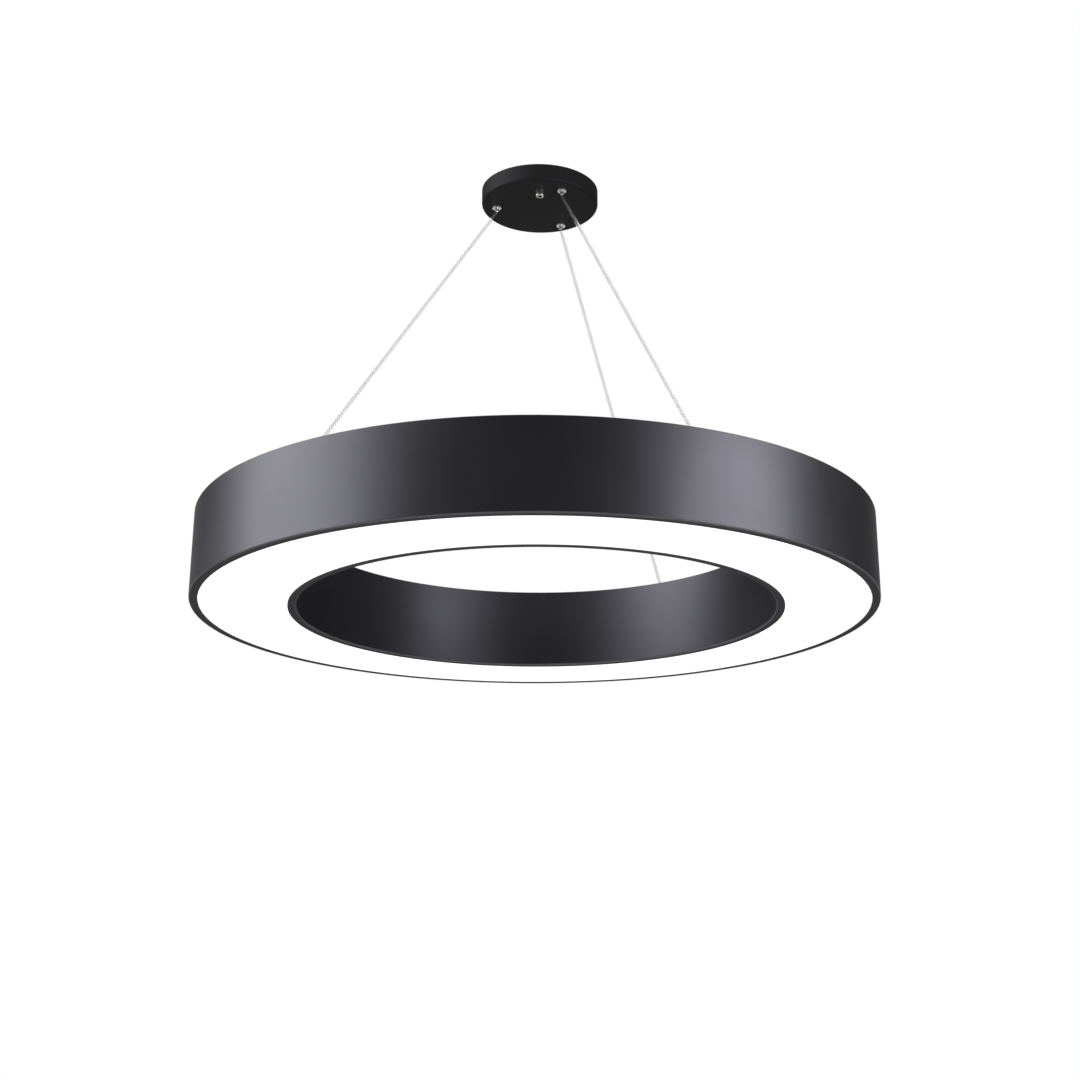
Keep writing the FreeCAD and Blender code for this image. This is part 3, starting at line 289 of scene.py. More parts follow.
def make_wire(point, angle):
    """A taut sheathed wire from its gripper to the ring."""
    route = [on_circle(radius, angle, height) for radius, height in WIRE_ROUTE]
    line = evenly_spaced(route_line(f"route_{point}", route), STRAND_STEP)
    frames = cross_frames(line, on_circle(1.0, angle + math.pi / 2, 0.0))
    rope = Shape()
    lay_strands(rope, line, frames, OPEN_ROPE_RADIUS, OPEN_STRAND_RADIUS)
    wire = rope.piece(f"stranded_wire_{point}")
    dress(wire, "canopy", "steel_wire")
    sheath = new_piece(f"clear_sheath_{point}", *tube(line, frames, SHEATH_RADIUS, SHEATH_SIDES))
    dress(sheath, "canopy", "steel_wire", f"suspension_wire_{point}", clear_sheath)
    for piece in (wire, sheath):
        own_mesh(piece)


def make_wire_tails():
    """The wires' upper ends, which run up through the grippers and stand a little above them."""
    low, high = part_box("wire_tails")
    steps = round((high.z - low.z) / STRAND_STEP)
    heights = [high.z + (low.z - high.z) * step / steps for step in range(steps + 1)]
    tails = Shape()
    for angle in SUSPENSION_ANGLES.values():
        line = [on_circle(GRIPPER_CIRCLE, angle, height) for height in heights]
        frames = cross_frames(line, on_circle(1.0, angle + math.pi / 2, 0.0))
        lay_strands(tails, line, frames, WIRE_RADIUS, CLOSED_STRAND_RADIUS)
    dress(tails.piece("stranded_wire_tails"), "canopy", "steel_wire", "wire_tails")


# Gripper springs

def make_spring(point, angle):
    """A short compression spring on its ball cage."""
    low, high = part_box(f"gripper_spring_{point}")
    axis = on_circle(GRIPPER_CIRCLE, angle, 0.0)
    coil_radius = (high.x - low.x) / 2 - SPRING_WIRE_RADIUS
    start = low.z + SPRING_WIRE_RADIUS
    rise = high.z - low.z - 2 * SPRING_WIRE_RADIUS
    centres = []
    frames = []
    steps = SPRING_TURNS * SPRING_STEPS
    for step in range(steps + 1):
        turn = 2 * math.pi * step / SPRING_STEPS
        centres.append(axis + on_circle(coil_radius, turn, start + rise * step / steps))
        frames.append((on_circle(1.0, turn, 0.0), Vector((0.0, 0.0, 1.0))))
    spring = new_piece(f"coil_spring_{point}", *tube(centres, frames, SPRING_WIRE_RADIUS, SPRING_SIDES))
    dress(spring, "canopy", "bright_steel", f"gripper_spring_{point}")
    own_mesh(spring)


# Screws of the top plate

def recess_cutter():
    """Cross-shaped tapering plug that presses the drive into a screw head."""
    arm = [
        (RECESS_REACH, -RECESS_HALF_WIDTH),
        (RECESS_REACH, RECESS_HALF_WIDTH),
        (RECESS_HALF_WIDTH, RECESS_HALF_WIDTH),
    ]
    corners = []
    for _ in range(RECESS_ARMS):
        corners += arm
        arm = [(-y, x) for x, y in arm]
    levels = (
        (SCREW_HEAD_HEIGHT - RECESS_DEPTH, RECESS_TAPER),
        (SCREW_HEAD_HEIGHT + RECESS_DEPTH, 2 - RECESS_TAPER),
    )
    return capped_tube([[Vector((x * share, y * share, z)) for x, y in corners] for z, share in levels])


def pan_head_screw():
    """One screw with its head's seat at the origin, as vertices and faces."""
    rise = SCREW_HEAD_HEIGHT - SCREW_HEAD_EDGE
    dome = []
    for step in range(SCREW_DOME_STEPS):
        lean = step / SCREW_DOME_STEPS * math.pi / 2
        radius = SCREW_HEAD_RADIUS * math.cos(lean) ** SCREW_DOME_POWER
        dome.append((radius, SCREW_HEAD_EDGE + rise * math.sin(lean)))
    outline = [
        (SCREW_SHANK_RADIUS, -SCREW_SHANK_LENGTH),
        (SCREW_SHANK_RADIUS, 0.0),
        (SCREW_HEAD_RADIUS, 0.0),
        *dome,
        (SCREW_CROWN_RADIUS, SCREW_HEAD_HEIGHT),
    ]
    blank = new_piece("screw_blank", *lathe(outline, SCREW_SIDES))
    cutter = new_piece("recess_cutter", *recess_cutter())
    recess = blank.modifiers.new("recess", "BOOLEAN")
    recess.operation = "DIFFERENCE"
    recess.solver = "EXACT"
    recess.object = cutter
    bpy.context.view_layer.update()
    cut = bpy.data.meshes.new_from_object(blank.evaluated_get(bpy.context.evaluated_depsgraph_get()))
    vertices = [vertex.co.copy() for vertex in cut.vertices]
    faces = [tuple(face.vertices) for face in cut.polygons]
    for helper in (cut, blank.data, cutter.data):
        bpy.data.meshes.remove(helper)
    return vertices, faces


def make_plate_screws():
    screw = pan_head_screw()
    screws = Shape()
    turn = 0.0
    for circle in SCREW_CIRCLES:
        for angle in full_turn(SCREWS_PER_CIRCLE):
            seat = Matrix.Translation(on_circle(circle, SCREW_START_ANGLE + angle, SCREW_SEAT))
            screws.add(*screw, seat @ Matrix.Rotation(turn, 4, "Z"))
            turn += SCREW_TURN_STEP
    dress(screws.piece("cross_recess_screws"), "ring", "black_screw", "top_plate_screws")


# Lock nuts and threads inside the canopy

def hex_nut(flats, bore, low, high):
    """A hexagon nut with both faces chamfered, its hole along Z, as vertices and faces."""
    land = flats / 2 * NUT_CHAMFER_SHARE
    turns = full_turn(NUT_STEPS)
    sixth = math.pi / 3
    corners = []
    for turn in turns:
        corners.append(flats / 2 / math.cos((turn + sixth / 2) % sixth - sixth / 2))
    drops = [(radius - land) * NUT_CHAMFER_SLOPE for radius in corners]
    rings = [
        [on_circle(bore, turn, low) for turn in turns],
        [on_circle(land, turn, low) for turn in turns],
        [on_circle(radius, turn, low + drop) for radius, turn, drop in zip(corners, turns, drops)],
        [on_circle(radius, turn, high - drop) for radius, turn, drop in zip(corners, turns, drops)],
        [on_circle(land, turn, high) for turn in turns],
        [on_circle(bore, turn, high) for turn in turns],
    ]
    count = len(rings) * NUT_STEPS
    faces = [tuple(corner % count for corner in face) for face in skin([*rings, rings[0]])]
    return [point for ring in rings for point in ring], faces


def thread_ridge(radius, low, high):
    """The turns of a screw thread that stand out of a plain shank."""
    steps = round((high - low - 2 * RIDGE_HALF_FOOT) / THREAD_PITCH * THREAD_STEPS)
    foot = radius - RIDGE_SUNK
    rings = []
    for step in range(steps + 1):
        turn = 2 * math.pi * step / THREAD_STEPS
        middle = low + RIDGE_HALF_FOOT + THREAD_PITCH * step / THREAD_STEPS
        runout = min(step, steps - step, THREAD_RUNOUT_STEPS) / THREAD_RUNOUT_STEPS
        crest = radius + THREAD_DEPTH * runout
        rings.append([
            on_circle(foot, turn, middle - RIDGE_HALF_FOOT),
            on_circle(crest, turn, middle - RIDGE_HALF_CREST),
            on_circle(crest, turn, middle + RIDGE_HALF_CREST),
            on_circle(foot, turn, middle + RIDGE_HALF_FOOT),
        ])
    return capped_tube(rings)


def make_lock_nut(name, place, flats, radius, shank_top):
    """A chamfered lock nut in place of the plain one, and the thread that shows above it."""
    low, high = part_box(name)
    move = Matrix.Translation((*place, 0.0))
    nut = Shape()
    nut.add(*hex_nut(flats, radius + THREAD_BORE_GAP, low.z, high.z), move)
    dress(nut.piece(f"chamfered_{name}"), "canopy", "nickel_fitting", name)
    thread = Shape()
    thread.add(*thread_ridge(radius, high.z, shank_top), move)
    dress(thread.piece(f"thread_over_{name}"), "canopy", "nickel_fitting")


# Nodes of the materials

def add_node(tree, kind, inputs=None, **settings):
    """A node with its settings made and its inputs set or linked."""
    node = tree.nodes.new(kind)
    for setting, value in settings.items():
        setattr(node, setting, value)
    for socket, value in (inputs or {}).items():
        if isinstance(value, bpy.types.NodeSocket):
            tree.links.new(value, node.inputs[socket])
        else:
            node.inputs[socket].default_value = value
    return node


def between(tree, mask, low, high, start=0.0, end=1.0):
    """A value that goes from low to high as the mask goes from start to end."""
    ranged = add_node(tree, "ShaderNodeMapRange", {
        "Value": mask, "From Min": start, "From Max": end, "To Min": low, "To Max": high,
    })
    return ranged.outputs["Result"]


def blended(tree, mask, first, second):
    """A colour that goes from the first to the second as the mask goes from 0 to 1."""
    mix = add_node(tree, "ShaderNodeMix", data_type="RGBA")
    factor, colours, result = mix.inputs[0], (mix.inputs[6], mix.inputs[7]), mix.outputs[2]
    tree.links.new(mask, factor)
    for socket, colour in zip(colours, (first, second)):
        if isinstance(colour, bpy.types.NodeSocket):
            tree.links.new(colour, socket)
        else:
            socket.default_value = (*colour, 1.0)
    return result


def combined(tree, operation, *values):
    """One value worked out from others."""
    return add_node(tree, "ShaderNodeMath", dict(enumerate(values)), operation=operation).outputs[0]


def noise(tree, scale, detail, stretch=None):
    """Noise over the piece itself, stretched along its axes where that is asked for."""
    place = add_node(tree, "ShaderNodeTexCoord").outputs["Object"]
    if stretch:
        stretched = add_node(tree, "ShaderNodeMapping", {"Vector": place, "Scale": stretch})
        place = stretched.outputs["Vector"]
    made = add_node(tree, "ShaderNodeTexNoise", {"Vector": place, "Scale": scale, "Detail": detail})
    return made.outputs["Fac"]


# Effects that the finishes are made up of

BEVEL_SAMPLES = 8


def new_effect(name, inputs, outputs):
    """An empty node group; gives its tree, the sockets that come in and its last node."""
    tree = bpy.data.node_groups.new(name, "ShaderNodeTree")
    for socket, value in inputs.items():
        made = tree.interface.new_socket(socket, in_out="INPUT", socket_type="NodeSocketFloat")
        made.default_value = value
    for socket in outputs:
        tree.interface.new_socket(socket, in_out="OUTPUT", socket_type="NodeSocketFloat")
    entry = tree.nodes.new("NodeGroupInput")
    return tree, entry.outputs, tree.nodes.new("NodeGroupOutput")


def fill_outputs(tree, group_end, **values):
    for socket, value in values.items():
        tree.links.new(value, group_end.inputs[socket])
    return tree


def coat_grain():
    """Sprayed and baked coat: fine orange peel, dry specks and broad drifts of sheen."""
    tree, given, end = new_effect("coat_grain", {"Fineness": 900.0}, ("Height", "Speck", "Drift"))
    fine = noise(tree, given["Fineness"], 2.0)
    peel = noise(tree, 320.0, 2.0)
    height = combined(tree, "ADD", fine, peel)
    speck = between(tree, noise(tree, 2400.0, 1.0), 0.0, 1.0, 0.52, 0.74)
    drift = between(tree, noise(tree, 9.0, 4.0), 0.0, 1.0, 0.3, 0.7)
    return fill_outputs(tree, end, Height=height, Speck=speck, Drift=drift)


def thin_edges():
    """Where a coat or plating is rubbed thin along the edges; on the ring the same mask also carries a
    painted highlight.
    """
    tree, given, end = new_effect("thin_edges", {"Width": 0.001}, ("Mask",))
    rounded = add_node(tree, "ShaderNodeBevel", {"Radius": given["Width"]}, samples=BEVEL_SAMPLES)
    plain = add_node(tree, "ShaderNodeNewGeometry")
    normals = {0: rounded.outputs["Normal"], 1: plain.outputs["Normal"]}
    turn = add_node(tree, "ShaderNodeVectorMath", normals, operation="DOT_PRODUCT")
    edge = between(tree, turn.outputs["Value"], 1.0, 0.0, 0.94, 0.998)
    broken = between(tree, noise(tree, 160.0, 4.0), 0.2, 1.0, 0.35, 0.65)
    return fill_outputs(tree, end, Mask=combined(tree, "MULTIPLY", edge, broken))


def painted_corner_highlight():
    """Painted highlight on the rounded corners between upright walls and level faces, broken up in
    patches.
    """
    tree, given, end = new_effect("painted_corner_highlight", {"Softness": 0.25}, ("Mask",))
    normal = add_node(tree, "ShaderNodeNewGeometry").outputs["Normal"]
    up = add_node(tree, "ShaderNodeSeparateXYZ", {0: normal}).outputs["Z"]
    lean = combined(tree, "ABSOLUTE", up)
    off_wall = between(tree, lean, 0.0, 1.0, 0.08, given["Softness"])
    off_level = between(tree, lean, 1.0, 0.0, 0.9, 0.985)
    corner = combined(tree, "MULTIPLY", off_wall, off_level)
    patchy = between(tree, noise(tree, 60.0, 4.0), 0.7, 1.0, 0.35, 0.65)
    return fill_outputs(tree, end, Mask=combined(tree, "MULTIPLY", corner, patchy))


def settled_dust():
    """Fine dust on what faces up."""
    tree, given, end = new_effect("settled_dust", {"Amount": 0.5}, ("Mask",))
    normal = add_node(tree, "ShaderNodeNewGeometry").outputs["Normal"]
    up = add_node(tree, "ShaderNodeSeparateXYZ", {0: normal}).outputs["Z"]
    facing = between(tree, up, 0.0, 1.0, 0.6, 0.98)
    patches = between(tree, noise(tree, 38.0, 6.0), 0.0, 1.0, 0.35, 0.75)
    dust = combined(tree, "MULTIPLY", facing, patches)
    return fill_outputs(tree, end, Mask=combined(tree, "MULTIPLY", dust, given["Amount"]))


def turned_lines():
    """Tool marks round a piece that was turned about an upright axis."""
    tree, given, end = new_effect("turned_lines", {"Fineness": 60.0}, ("Lines", "Stain"))
    lines = noise(tree, given["Fineness"], 2.0, (0.6, 0.6, 120.0))
    stain = between(tree, noise(tree, 420.0, 5.0), 0.0, 1.0, 0.3, 0.75)
    return fill_outputs(tree, end, Lines=lines, Stain=stain)


def plate_spangle():
    """Crystals and cloudy patches of a plated or bare metal sheet."""
    tree, given, end = new_effect("plate_spangle", {"Fineness": 500.0}, ("Crystal", "Cloud"))
    place = add_node(tree, "ShaderNodeTexCoord").outputs["Object"]
    cells = add_node(tree, "ShaderNodeTexVoronoi", {"Vector": place, "Scale": given["Fineness"]})
    crystal = add_node(tree, "ShaderNodeSeparateColor", {0: cells.outputs["Color"]}).outputs[0]
    cloud = between(tree, noise(tree, 130.0, 5.0), 0.0, 1.0, 0.3, 0.7)
    return fill_outputs(tree, end, Crystal=crystal, Cloud=cloud)


def moulded_skin():
    """Fine spark-eroded skin and slight flow marks of a moulded piece."""
    tree, given, end = new_effect("moulded_skin", {"Fineness": 1800.0}, ("Height", "Flow"))
    height = noise(tree, given["Fineness"], 3.0)
    flow = between(tree, noise(tree, 45.0, 3.0, (1.0, 1.0, 3.0)), 0.0, 1.0, 0.3, 0.7)
    return fill_outputs(tree, end, Height=height, Flow=flow)


effects = {
    effect.name: effect
    for effect in (
        coat_grain(), thin_edges(), painted_corner_highlight(), settled_dust(), turned_lines(), plate_spangle(),
        moulded_skin(),
    )
}


def use_effect(tree, name, **values):
    """The named effect placed in a material, with its own values."""
    return add_node(tree, "ShaderNodeGroup", values, node_tree=effects[name]).outputs


# Finishes

# Distance of the diffuser's middle from the lamp's axis
OPAL_MIDDLE = 0.34
# Distances from its middle between which the diffuser goes from dimmer to full light
OPAL_DIM = (0.053, 0.03)
# How much lighter than its palest shade a moulded piece is along its edges
MOULDED_EDGE_LIGHTER = 1.15


def new_finish(name, **constants):
    """A material whose shader holds the constants; gives the material, its tree and its shader."""
    material = bpy.data.materials.new(name)
    material.use_nodes = True
    shader = material.node_tree.nodes["Principled BSDF"]
    for socket, value in constants.items():
        shader.inputs[socket.replace("_", " ")].default_value = value
    return material, material.node_tree, shader


def finish_shader(tree, shader, colour, roughness, height=None, relief=0.0):
    """Link a finish's colour and roughness to its shader, and its height as relief in metres."""
    tree.links.new(colour, shader.inputs["Base Color"])
    tree.links.new(roughness, shader.inputs["Roughness"])
    if height is not None:
        bump = add_node(tree, "ShaderNodeBump", {"Height": height, "Distance": relief, "Strength": 1.0})
        tree.links.new(bump.outputs["Normal"], shader.inputs["Normal"])


def satin_black_ring():
    """Smooth satin powder coat of the ring, with a painted highlight along its edges and rounded
    corners.
    """
    material, tree, shader = new_finish(
        "satin_black_ring", Specular_IOR_Level=1.0, Specular_Tint=(0.85, 0.84, 1.0, 1.0),
    )
    grain = use_effect(tree, "coat_grain", Fineness=900.0)
    edge = use_effect(tree, "thin_edges", Width=1.0 * MM)
    # The edge and corner masks carry a painted highlight along the ring's edges and rounded corners,
    # together with a little edge wear
    corner = use_effect(tree, "painted_corner_highlight", Softness=0.3)
    bare = combined(tree, "MAXIMUM", edge["Mask"], corner["Mask"])
    dust = use_effect(tree, "settled_dust", Amount=0.12)
    black = blended(tree, grain["Speck"], (0.0085, 0.0078, 0.0082), (0.014, 0.013, 0.0138))
    # rubbed is mostly painted highlight: a lighter, bluish grey like the lamps' reflection, on the
    # edges and rounded corners
    rubbed = blended(tree, between(tree, bare, 0.0, 0.9), black, (0.125, 0.122, 0.132))
    colour = blended(tree, dust["Mask"], rubbed, (0.16, 0.15, 0.14))
    polish = between(tree, bare, 0.0, 0.14)
    roughness = combined(tree, "SUBTRACT", between(tree, grain["Drift"], 0.40, 0.46), polish)
    finish_shader(tree, shader, colour, roughness, grain["Height"], 0.012 * MM)
    return material


def matt_black_canopy():
    """Duller, finely textured powder coat of the canopy."""
    material, tree, shader = new_finish(
        "matt_black_canopy", Specular_IOR_Level=0.28, Specular_Tint=(0.9, 0.88, 1.0, 1.0),
    )
    grain = use_effect(tree, "coat_grain", Fineness=1400.0)
    edge = use_effect(tree, "thin_edges", Width=0.8 * MM)
    black = blended(tree, grain["Speck"], (0.0105, 0.0098, 0.0098), (0.0155, 0.0145, 0.0148))
    colour = blended(tree, between(tree, edge["Mask"], 0.0, 0.4), black, (0.035, 0.035, 0.037))
    roughness = between(tree, grain["Drift"], 0.52, 0.62)
    finish_shader(tree, shader, colour, roughness, grain["Height"], 0.02 * MM)
    return material


def black_screw():
    """Blackened steel of the screws, bright where a driver or a hand has rubbed it."""
    material, tree, shader = new_finish("black_screw", Metallic=0.6)
    spangle = use_effect(tree, "plate_spangle", Fineness=1500.0)
    edge = use_effect(tree, "thin_edges", Width=0.25 * MM)
    black = blended(tree, spangle["Cloud"], (0.02, 0.02, 0.021), (0.034, 0.033, 0.033))
    colour = blended(tree, between(tree, edge["Mask"], 0.0, 0.7), black, (0.2, 0.19, 0.18))
    roughness = between(tree, spangle["Crystal"], 0.34, 0.46)
    finish_shader(tree, shader, colour, roughness, spangle["Cloud"], 0.01 * MM)
    return material


def opal_acrylic():
    """Milky acrylic lit from behind, a touch dimmer along its rims."""
    material, tree, shader = new_finish("opal_acrylic", Emission_Strength=1.0, Specular_IOR_Level=0.4)
    skin_marks = use_effect(tree, "moulded_skin", Fineness=700.0)
    place = add_node(tree, "ShaderNodeTexCoord").outputs["Object"]
    flat = add_node(tree, "ShaderNodeVectorMath", {0: place, 1: (1.0, 1.0, 0.0)}, operation="MULTIPLY")
    radius = add_node(tree, "ShaderNodeVectorMath", {0: flat.outputs[0]}, operation="LENGTH")
    off_middle = combined(tree, "SUBTRACT", radius.outputs["Value"], OPAL_MIDDLE)
    lit = between(tree, combined(tree, "ABSOLUTE", off_middle), 0.0, 1.0, *OPAL_DIM)
    glow = blended(tree, lit, (0.90, 0.90, 0.90), (1.0, 0.998, 0.99))
    tree.links.new(glow, shader.inputs["Emission Color"])
    white = blended(tree, skin_marks["Flow"], (0.80, 0.80, 0.79), (0.86, 0.86, 0.855))
    roughness = between(tree, skin_marks["Flow"], 0.32, 0.38)
    finish_shader(tree, shader, white, roughness, skin_marks["Height"], 0.006 * MM)
    return material


def bright_nickel():
    """Nickel plating over turned brass."""
    material, tree, shader = new_finish("bright_nickel", Metallic=1.0)
    marks = use_effect(tree, "turned_lines", Fineness=60.0)
    edge = use_effect(tree, "thin_edges", Width=0.3 * MM)
    nickel = blended(tree, marks["Stain"], (0.82, 0.80, 0.77), (0.72, 0.70, 0.67))
    colour = blended(tree, edge["Mask"], nickel, (0.88, 0.86, 0.83))
    roughness = between(tree, marks["Lines"], 0.18, 0.36, 0.3, 0.7)
    finish_shader(tree, shader, colour, roughness, marks["Lines"], 0.01 * MM)
    return material


def ball_steel():
    """Hardened, polished steel of balls and springs."""
    material, tree, shader = new_finish("ball_steel", Metallic=1.0)
    spangle = use_effect(tree, "plate_spangle", Fineness=2500.0)
    colour = blended(tree, spangle["Cloud"], (0.60, 0.60, 0.61), (0.52, 0.52, 0.53))
    roughness = between(tree, spangle["Crystal"], 0.10, 0.2)
    finish_shader(tree, shader, colour, roughness)
    return material


def strand_steel():
    """Drawn stainless steel of the wires' strands."""
    material, tree, shader = new_finish("strand_steel", Metallic=0.6)
    drawn = noise(tree, 900.0, 3.0, (1.0, 1.0, 0.08))
    cloud = use_effect(tree, "plate_spangle", Fineness=900.0)["Cloud"]
    colour = blended(tree, cloud, (0.20, 0.20, 0.205), (0.14, 0.14, 0.145))
    roughness = between(tree, drawn, 0.28, 0.44, 0.3, 0.7)
    finish_shader(tree, shader, colour, roughness, drawn, 0.01 * MM)
    return material


def clear_pvc():
    """Clear soft plastic of the wires' sheath, hazy from handling.

    The rope fills it, so it hardly bends light.
    """
    material, tree, shader = new_finish("clear_pvc", Transmission_Weight=1.0, IOR=1.15)
    skin_marks = use_effect(tree, "moulded_skin", Fineness=400.0)
    colour = blended(tree, skin_marks["Flow"], (0.97, 0.97, 0.98), (0.93, 0.93, 0.94))
    roughness = between(tree, skin_marks["Flow"], 0.06, 0.16)
    finish_shader(tree, shader, colour, roughness, skin_marks["Height"], 0.01 * MM)
    return material


def zinc_plate():
    """Zinc plating of the bracket, nuts, washers and inner screws."""
    material, tree, shader = new_finish("zinc_plate", Metallic=1.0)
    spangle = use_effect(tree, "plate_spangle", Fineness=420.0)
    edge = use_effect(tree, "thin_edges", Width=0.4 * MM)
    zinc = blended(tree, spangle["Crystal"], (0.50, 0.51, 0.53), (0.62, 0.63, 0.65))
    colour = blended(tree, between(tree, edge["Mask"], 0.0, 0.6), zinc, (0.72, 0.72, 0.72))
    roughness = between(tree, spangle["Cloud"], 0.34, 0.52)
    finish_shader(tree, shader, colour, roughness, spangle["Cloud"], 0.02 * MM)
    return material


def terminal_brass():
    """Bare brass of the terminal sleeves and the earth screw."""
    material, tree, shader = new_finish("terminal_brass", Metallic=1.0)
    spangle = use_effect(tree, "plate_spangle", Fineness=1200.0)
    colour = blended(tree, spangle["Cloud"], (0.74, 0.53, 0.25), (0.60, 0.41, 0.18))
    roughness = between(tree, spangle["Crystal"], 0.26, 0.4)
    finish_shader(tree, shader, colour, roughness)
    return material


def white_tray_coat():
    """White reflector coat of the LED tray."""
    material, tree, shader = new_finish("white_tray_coat")
    grain = use_effect(tree, "coat_grain", Fineness=1100.0)
    colour = blended(tree, grain["Drift"], (0.80, 0.80, 0.78), (0.84, 0.84, 0.83))
    roughness = between(tree, grain["Speck"], 0.5, 0.62)
    finish_shader(tree, shader, colour, roughness, grain["Height"], 0.015 * MM)
    return material


def white_solder_mask():
    """White lacquer of the LED boards."""
    material, tree, shader = new_finish("white_solder_mask")
    skin_marks = use_effect(tree, "moulded_skin", Fineness=1500.0)
    colour = blended(tree, skin_marks["Flow"], (0.76, 0.76, 0.73), (0.80, 0.80, 0.77))
    roughness = between(tree, skin_marks["Flow"], 0.34, 0.44)
    finish_shader(tree, shader, colour, roughness, skin_marks["Height"], 0.005 * MM)
    return material


def led_phosphor():
    """Yellow phosphor gel over the LED chips."""
    material, tree, shader = new_finish("led_phosphor")
    skin_marks = use_effect(tree, "moulded_skin", Fineness=2600.0)
    colour = blended(tree, skin_marks["Height"], (0.78, 0.56, 0.08), (0.86, 0.66, 0.16))
    roughness = between(tree, skin_marks["Flow"], 0.25, 0.4)
    finish_shader(tree, shader, colour, roughness)
    return material


def moulded_plastic(name, dark, pale, low, high, relief):
    """A moulded thermoplastic whose colour and gloss drift a little."""
    material, tree, shader = new_finish(name)
    skin_marks = use_effect(tree, "moulded_skin", Fineness=1800.0)
    edge = use_effect(tree, "thin_edges", Width=0.5 * MM)
    plastic = blended(tree, skin_marks["Flow"], dark, pale)
    lighter = tuple(min(1.0, shade * MOULDED_EDGE_LIGHTER) for shade in pale)
    colour = blended(tree, edge["Mask"], plastic, lighter)
    roughness = between(tree, skin_marks["Flow"], low, high)
    finish_shader(tree, shader, colour, roughness, skin_marks["Height"], relief)
    return material


def driver_case():
    return moulded_plastic(
        "driver_case", (0.76, 0.76, 0.75), (0.81, 0.81, 0.80), 0.42, 0.52, 0.02 * MM,
    )


def driver_cap():
    return moulded_plastic(
        "driver_cap", (0.10, 0.10, 0.105), (0.13, 0.13, 0.135), 0.45, 0.55, 0.02 * MM,
    )


def terminal_plastic():
    return moulded_plastic(
        "terminal_plastic", (0.70, 0.68, 0.61), (0.75, 0.73, 0.66), 0.38, 0.5, 0.012 * MM,
    )


def seal_rubber():
    return moulded_plastic(
        "seal_rubber", (0.018, 0.018, 0.018), (0.028, 0.027, 0.026), 0.66, 0.8, 0.03 * MM,
    )


finishes = {
    "black_powder_coat_aluminium": satin_black_ring(),
    "black_powder_coat_steel": matt_black_canopy(),
    "white_coated_aluminium": white_tray_coat(),
    "white_circuit_board": white_solder_mask(),
    "led_phosphor": led_phosphor(),
    "opal_diffuser": opal_acrylic(),
    "driver_case_plastic": driver_case(),
    "driver_cap_plastic": driver_cap(),
    "nickel_fitting": bright_nickel(),
    "bright_steel": ball_steel(),
    "steel_wire": strand_steel(),
    "zinc_steel": zinc_plate(),
    "black_screw": black_screw(),
    "brass": terminal_brass(),
    "seal_rubber": seal_rubber(),
    "terminal_plastic": terminal_plastic(),
}

clear_sheath = clear_pvc()

for node in nodes.values():
    slot_name = node.material_slots[0].material.name
    node.material_slots[0].material = finishes[slot_name]

for wire_point, wire_angle in SUSPENSION_ANGLES.items():
    make_wire(wire_point, wire_angle)
    make_spring(wire_point, wire_angle)
    make_lock_nut(
        f"gripper_nut_{wire_point}", on_circle(GRIPPER_CIRCLE, wire_angle, 0.0).xy,
        GRIPPER_NUT_FLATS, GRIPPER_SHANK_RADIUS, GRIPPER_SHANK_TOP,
    )
make_wire_tails()
make_lock_nut("canopy_gland_nut", GLAND_PLACE, GLAND_NUT_FLATS, GLAND_SHANK_RADIUS, GLAND_SHANK_TOP)
make_plate_screws()


# Stage: camera, lamps, backdrop and floor

RING_MIDDLE = Vector((0.0, 0.0, -0.506))
# Softboxes: bearing from the camera's side, distance from the axis, height, size and radiance
SOFTBOXES = {
    "left_softbox": (math.radians(-74.5), 1.72, 0.06, (1.5, 1.6), 3.9),
    "right_softbox": (math.radians(52.5), 1.0, -0.37, (0.56, 0.5), 5.2),
    "overhead_softbox": (0.0, 0.0, 3.0, (5.0, 5.0), 1.2),
    "back_softbox": (math.pi, 0.95, -0.5, (0.2, 0.2), 1.0),
}
ROOM_GREY = 0.25
FLOOR_HEIGHT = -2.4
FLOOR_RADIUS = 4.0
FLOOR_SIDES = 96
FLOOR_PALE = (0.86, 0.86, 0.86, 1.0)
# Distances from the lamp's axis over which the floor turns into the white backdrop
FLOOR_FADE = (1.2, 3.8)
# The room as metal mirrors it: dim, apart from the white backdrop, which stands straight behind
# the lamp and above the floor
MIRRORED_GREY = 0.055
BACKDROP_DEPTH = (0.80, 0.98)
BACKDROP_FOOT = (-0.05, 0.05)


def make_camera():
    pitch, yaw, roll = CAMERA_PITCH, CAMERA_YAW, CAMERA_ROLL
    upright = Vector((0.0, 0.0, 1.0))
    ahead = Vector((math.sin(yaw), math.cos(yaw), 0.0))
    level_right = ahead.cross(upright)
    level_up = math.cos(pitch) * upright - math.sin(pitch) * ahead
    forward = math.cos(pitch) * ahead + math.sin(pitch) * upright
    right = math.cos(roll) * level_right + math.sin(roll) * level_up
    up = math.cos(roll) * level_up - math.sin(roll) * level_right
    camera = bpy.data.cameras.new("camera")
    camera.sensor_fit = "HORIZONTAL"
    camera.sensor_width = CAMERA_SENSOR
    camera.lens = CAMERA_LENS
    camera.shift_x, camera.shift_y = CAMERA_SHIFT
    holder = bpy.data.objects.new("camera", camera)
    turn = Matrix((right, up, -forward)).transposed()
    holder.matrix_world = Matrix.Translation(CAMERA_PLACE) @ turn.to_4x4()
    bpy.context.scene.collection.objects.link(holder)
    bpy.context.scene.camera = holder


def make_softbox(name, bearing, distance, height, size, radiance):
    """A soft rectangular lamp turned towards the ring."""
    lamp = bpy.data.lights.new(name, "AREA")
    lamp.shape = "RECTANGLE"
    lamp.size, lamp.size_y = size
    lamp.energy = radiance * math.pi * size[0] * size[1]
    place = Vector((distance * math.sin(bearing), -distance * math.cos(bearing), height))
    turn = (RING_MIDDLE - place).to_track_quat("-Z", "Y").to_matrix().to_4x4()
    holder = bpy.data.objects.new(name, lamp)
    holder.matrix_world = Matrix.Translation(place) @ turn
    holder.visible_camera = False
    bpy.context.scene.collection.objects.link(holder)


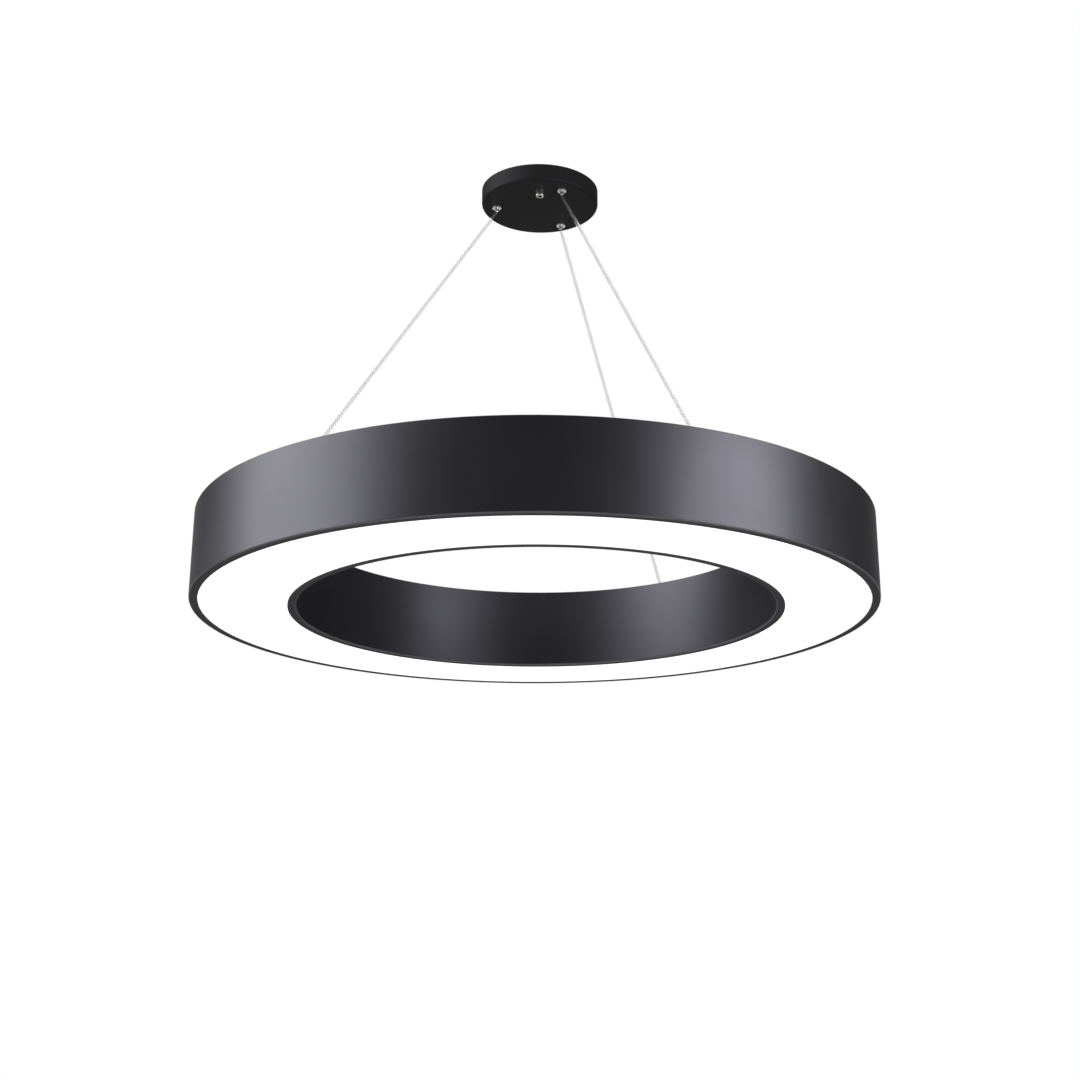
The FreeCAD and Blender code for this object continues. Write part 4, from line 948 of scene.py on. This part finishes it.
def seen_by_eye(tree):
    """Whether a ray comes from the eye, straight or through clear plastic."""
    path = add_node(tree, "ShaderNodeLightPath").outputs
    return combined(tree, "MAXIMUM", path["Is Camera Ray"], path["Is Transmission Ray"])


def make_studio():
    """White behind the lamp, as the eye, clear plastic and metal see it, in a dim room."""
    world = bpy.data.worlds.new("studio")
    bpy.context.scene.world = world
    world.use_nodes = True
    tree = world.node_tree
    path = add_node(tree, "ShaderNodeLightPath").outputs
    way = add_node(tree, "ShaderNodeTexCoord").outputs["Generated"]
    way_parts = add_node(tree, "ShaderNodeSeparateXYZ", {0: way}).outputs
    straight_behind = between(tree, way_parts["Y"], 0.0, 1.0, *BACKDROP_DEPTH)
    above_floor = between(tree, way_parts["Z"], 0.0, 1.0, *BACKDROP_FOOT)
    backdrop = combined(tree, "MULTIPLY", straight_behind, above_floor)
    mirrored = blended(tree, backdrop, (MIRRORED_GREY,) * 3, (1.0, 1.0, 1.0))
    room = blended(tree, path["Is Glossy Ray"], (ROOM_GREY,) * 3, mirrored)
    seen = blended(tree, seen_by_eye(tree), room, (1.0, 1.0, 1.0))
    tree.links.new(seen, tree.nodes["Background"].inputs["Color"])


def pale_floor():
    """Pale paint that runs out into the white backdrop, away from the shadow."""
    material, tree, shader = new_finish("pale_floor", Base_Color=FLOOR_PALE, Specular_IOR_Level=0.0)
    place = add_node(tree, "ShaderNodeTexCoord").outputs["Object"]
    radius = add_node(tree, "ShaderNodeVectorMath", {0: place}, operation="LENGTH").outputs["Value"]
    far = between(tree, radius, 0.0, 1.0, *FLOOR_FADE)
    share = combined(tree, "MULTIPLY", seen_by_eye(tree), far)
    white = add_node(tree, "ShaderNodeEmission", {"Color": (1.0, 1.0, 1.0, 1.0), "Strength": 1.0})
    mix = add_node(tree, "ShaderNodeMixShader", {
        0: share, 1: shader.outputs["BSDF"], 2: white.outputs["Emission"],
    })
    tree.links.new(mix.outputs["Shader"], tree.nodes["Material Output"].inputs["Surface"])
    return material


def make_floor():
    edge = [on_circle(FLOOR_RADIUS, turn, 0.0) for turn in full_turn(FLOOR_SIDES)]
    floor = new_piece("floor", edge, [tuple(range(FLOOR_SIDES))])
    floor.location.z = FLOOR_HEIGHT
    floor.data.materials.append(pale_floor())


make_camera()
make_studio()
make_floor()
for softbox, settings in SOFTBOXES.items():
    make_softbox(softbox, *settings)
bpy.context.scene.view_settings.view_transform = "Standard"
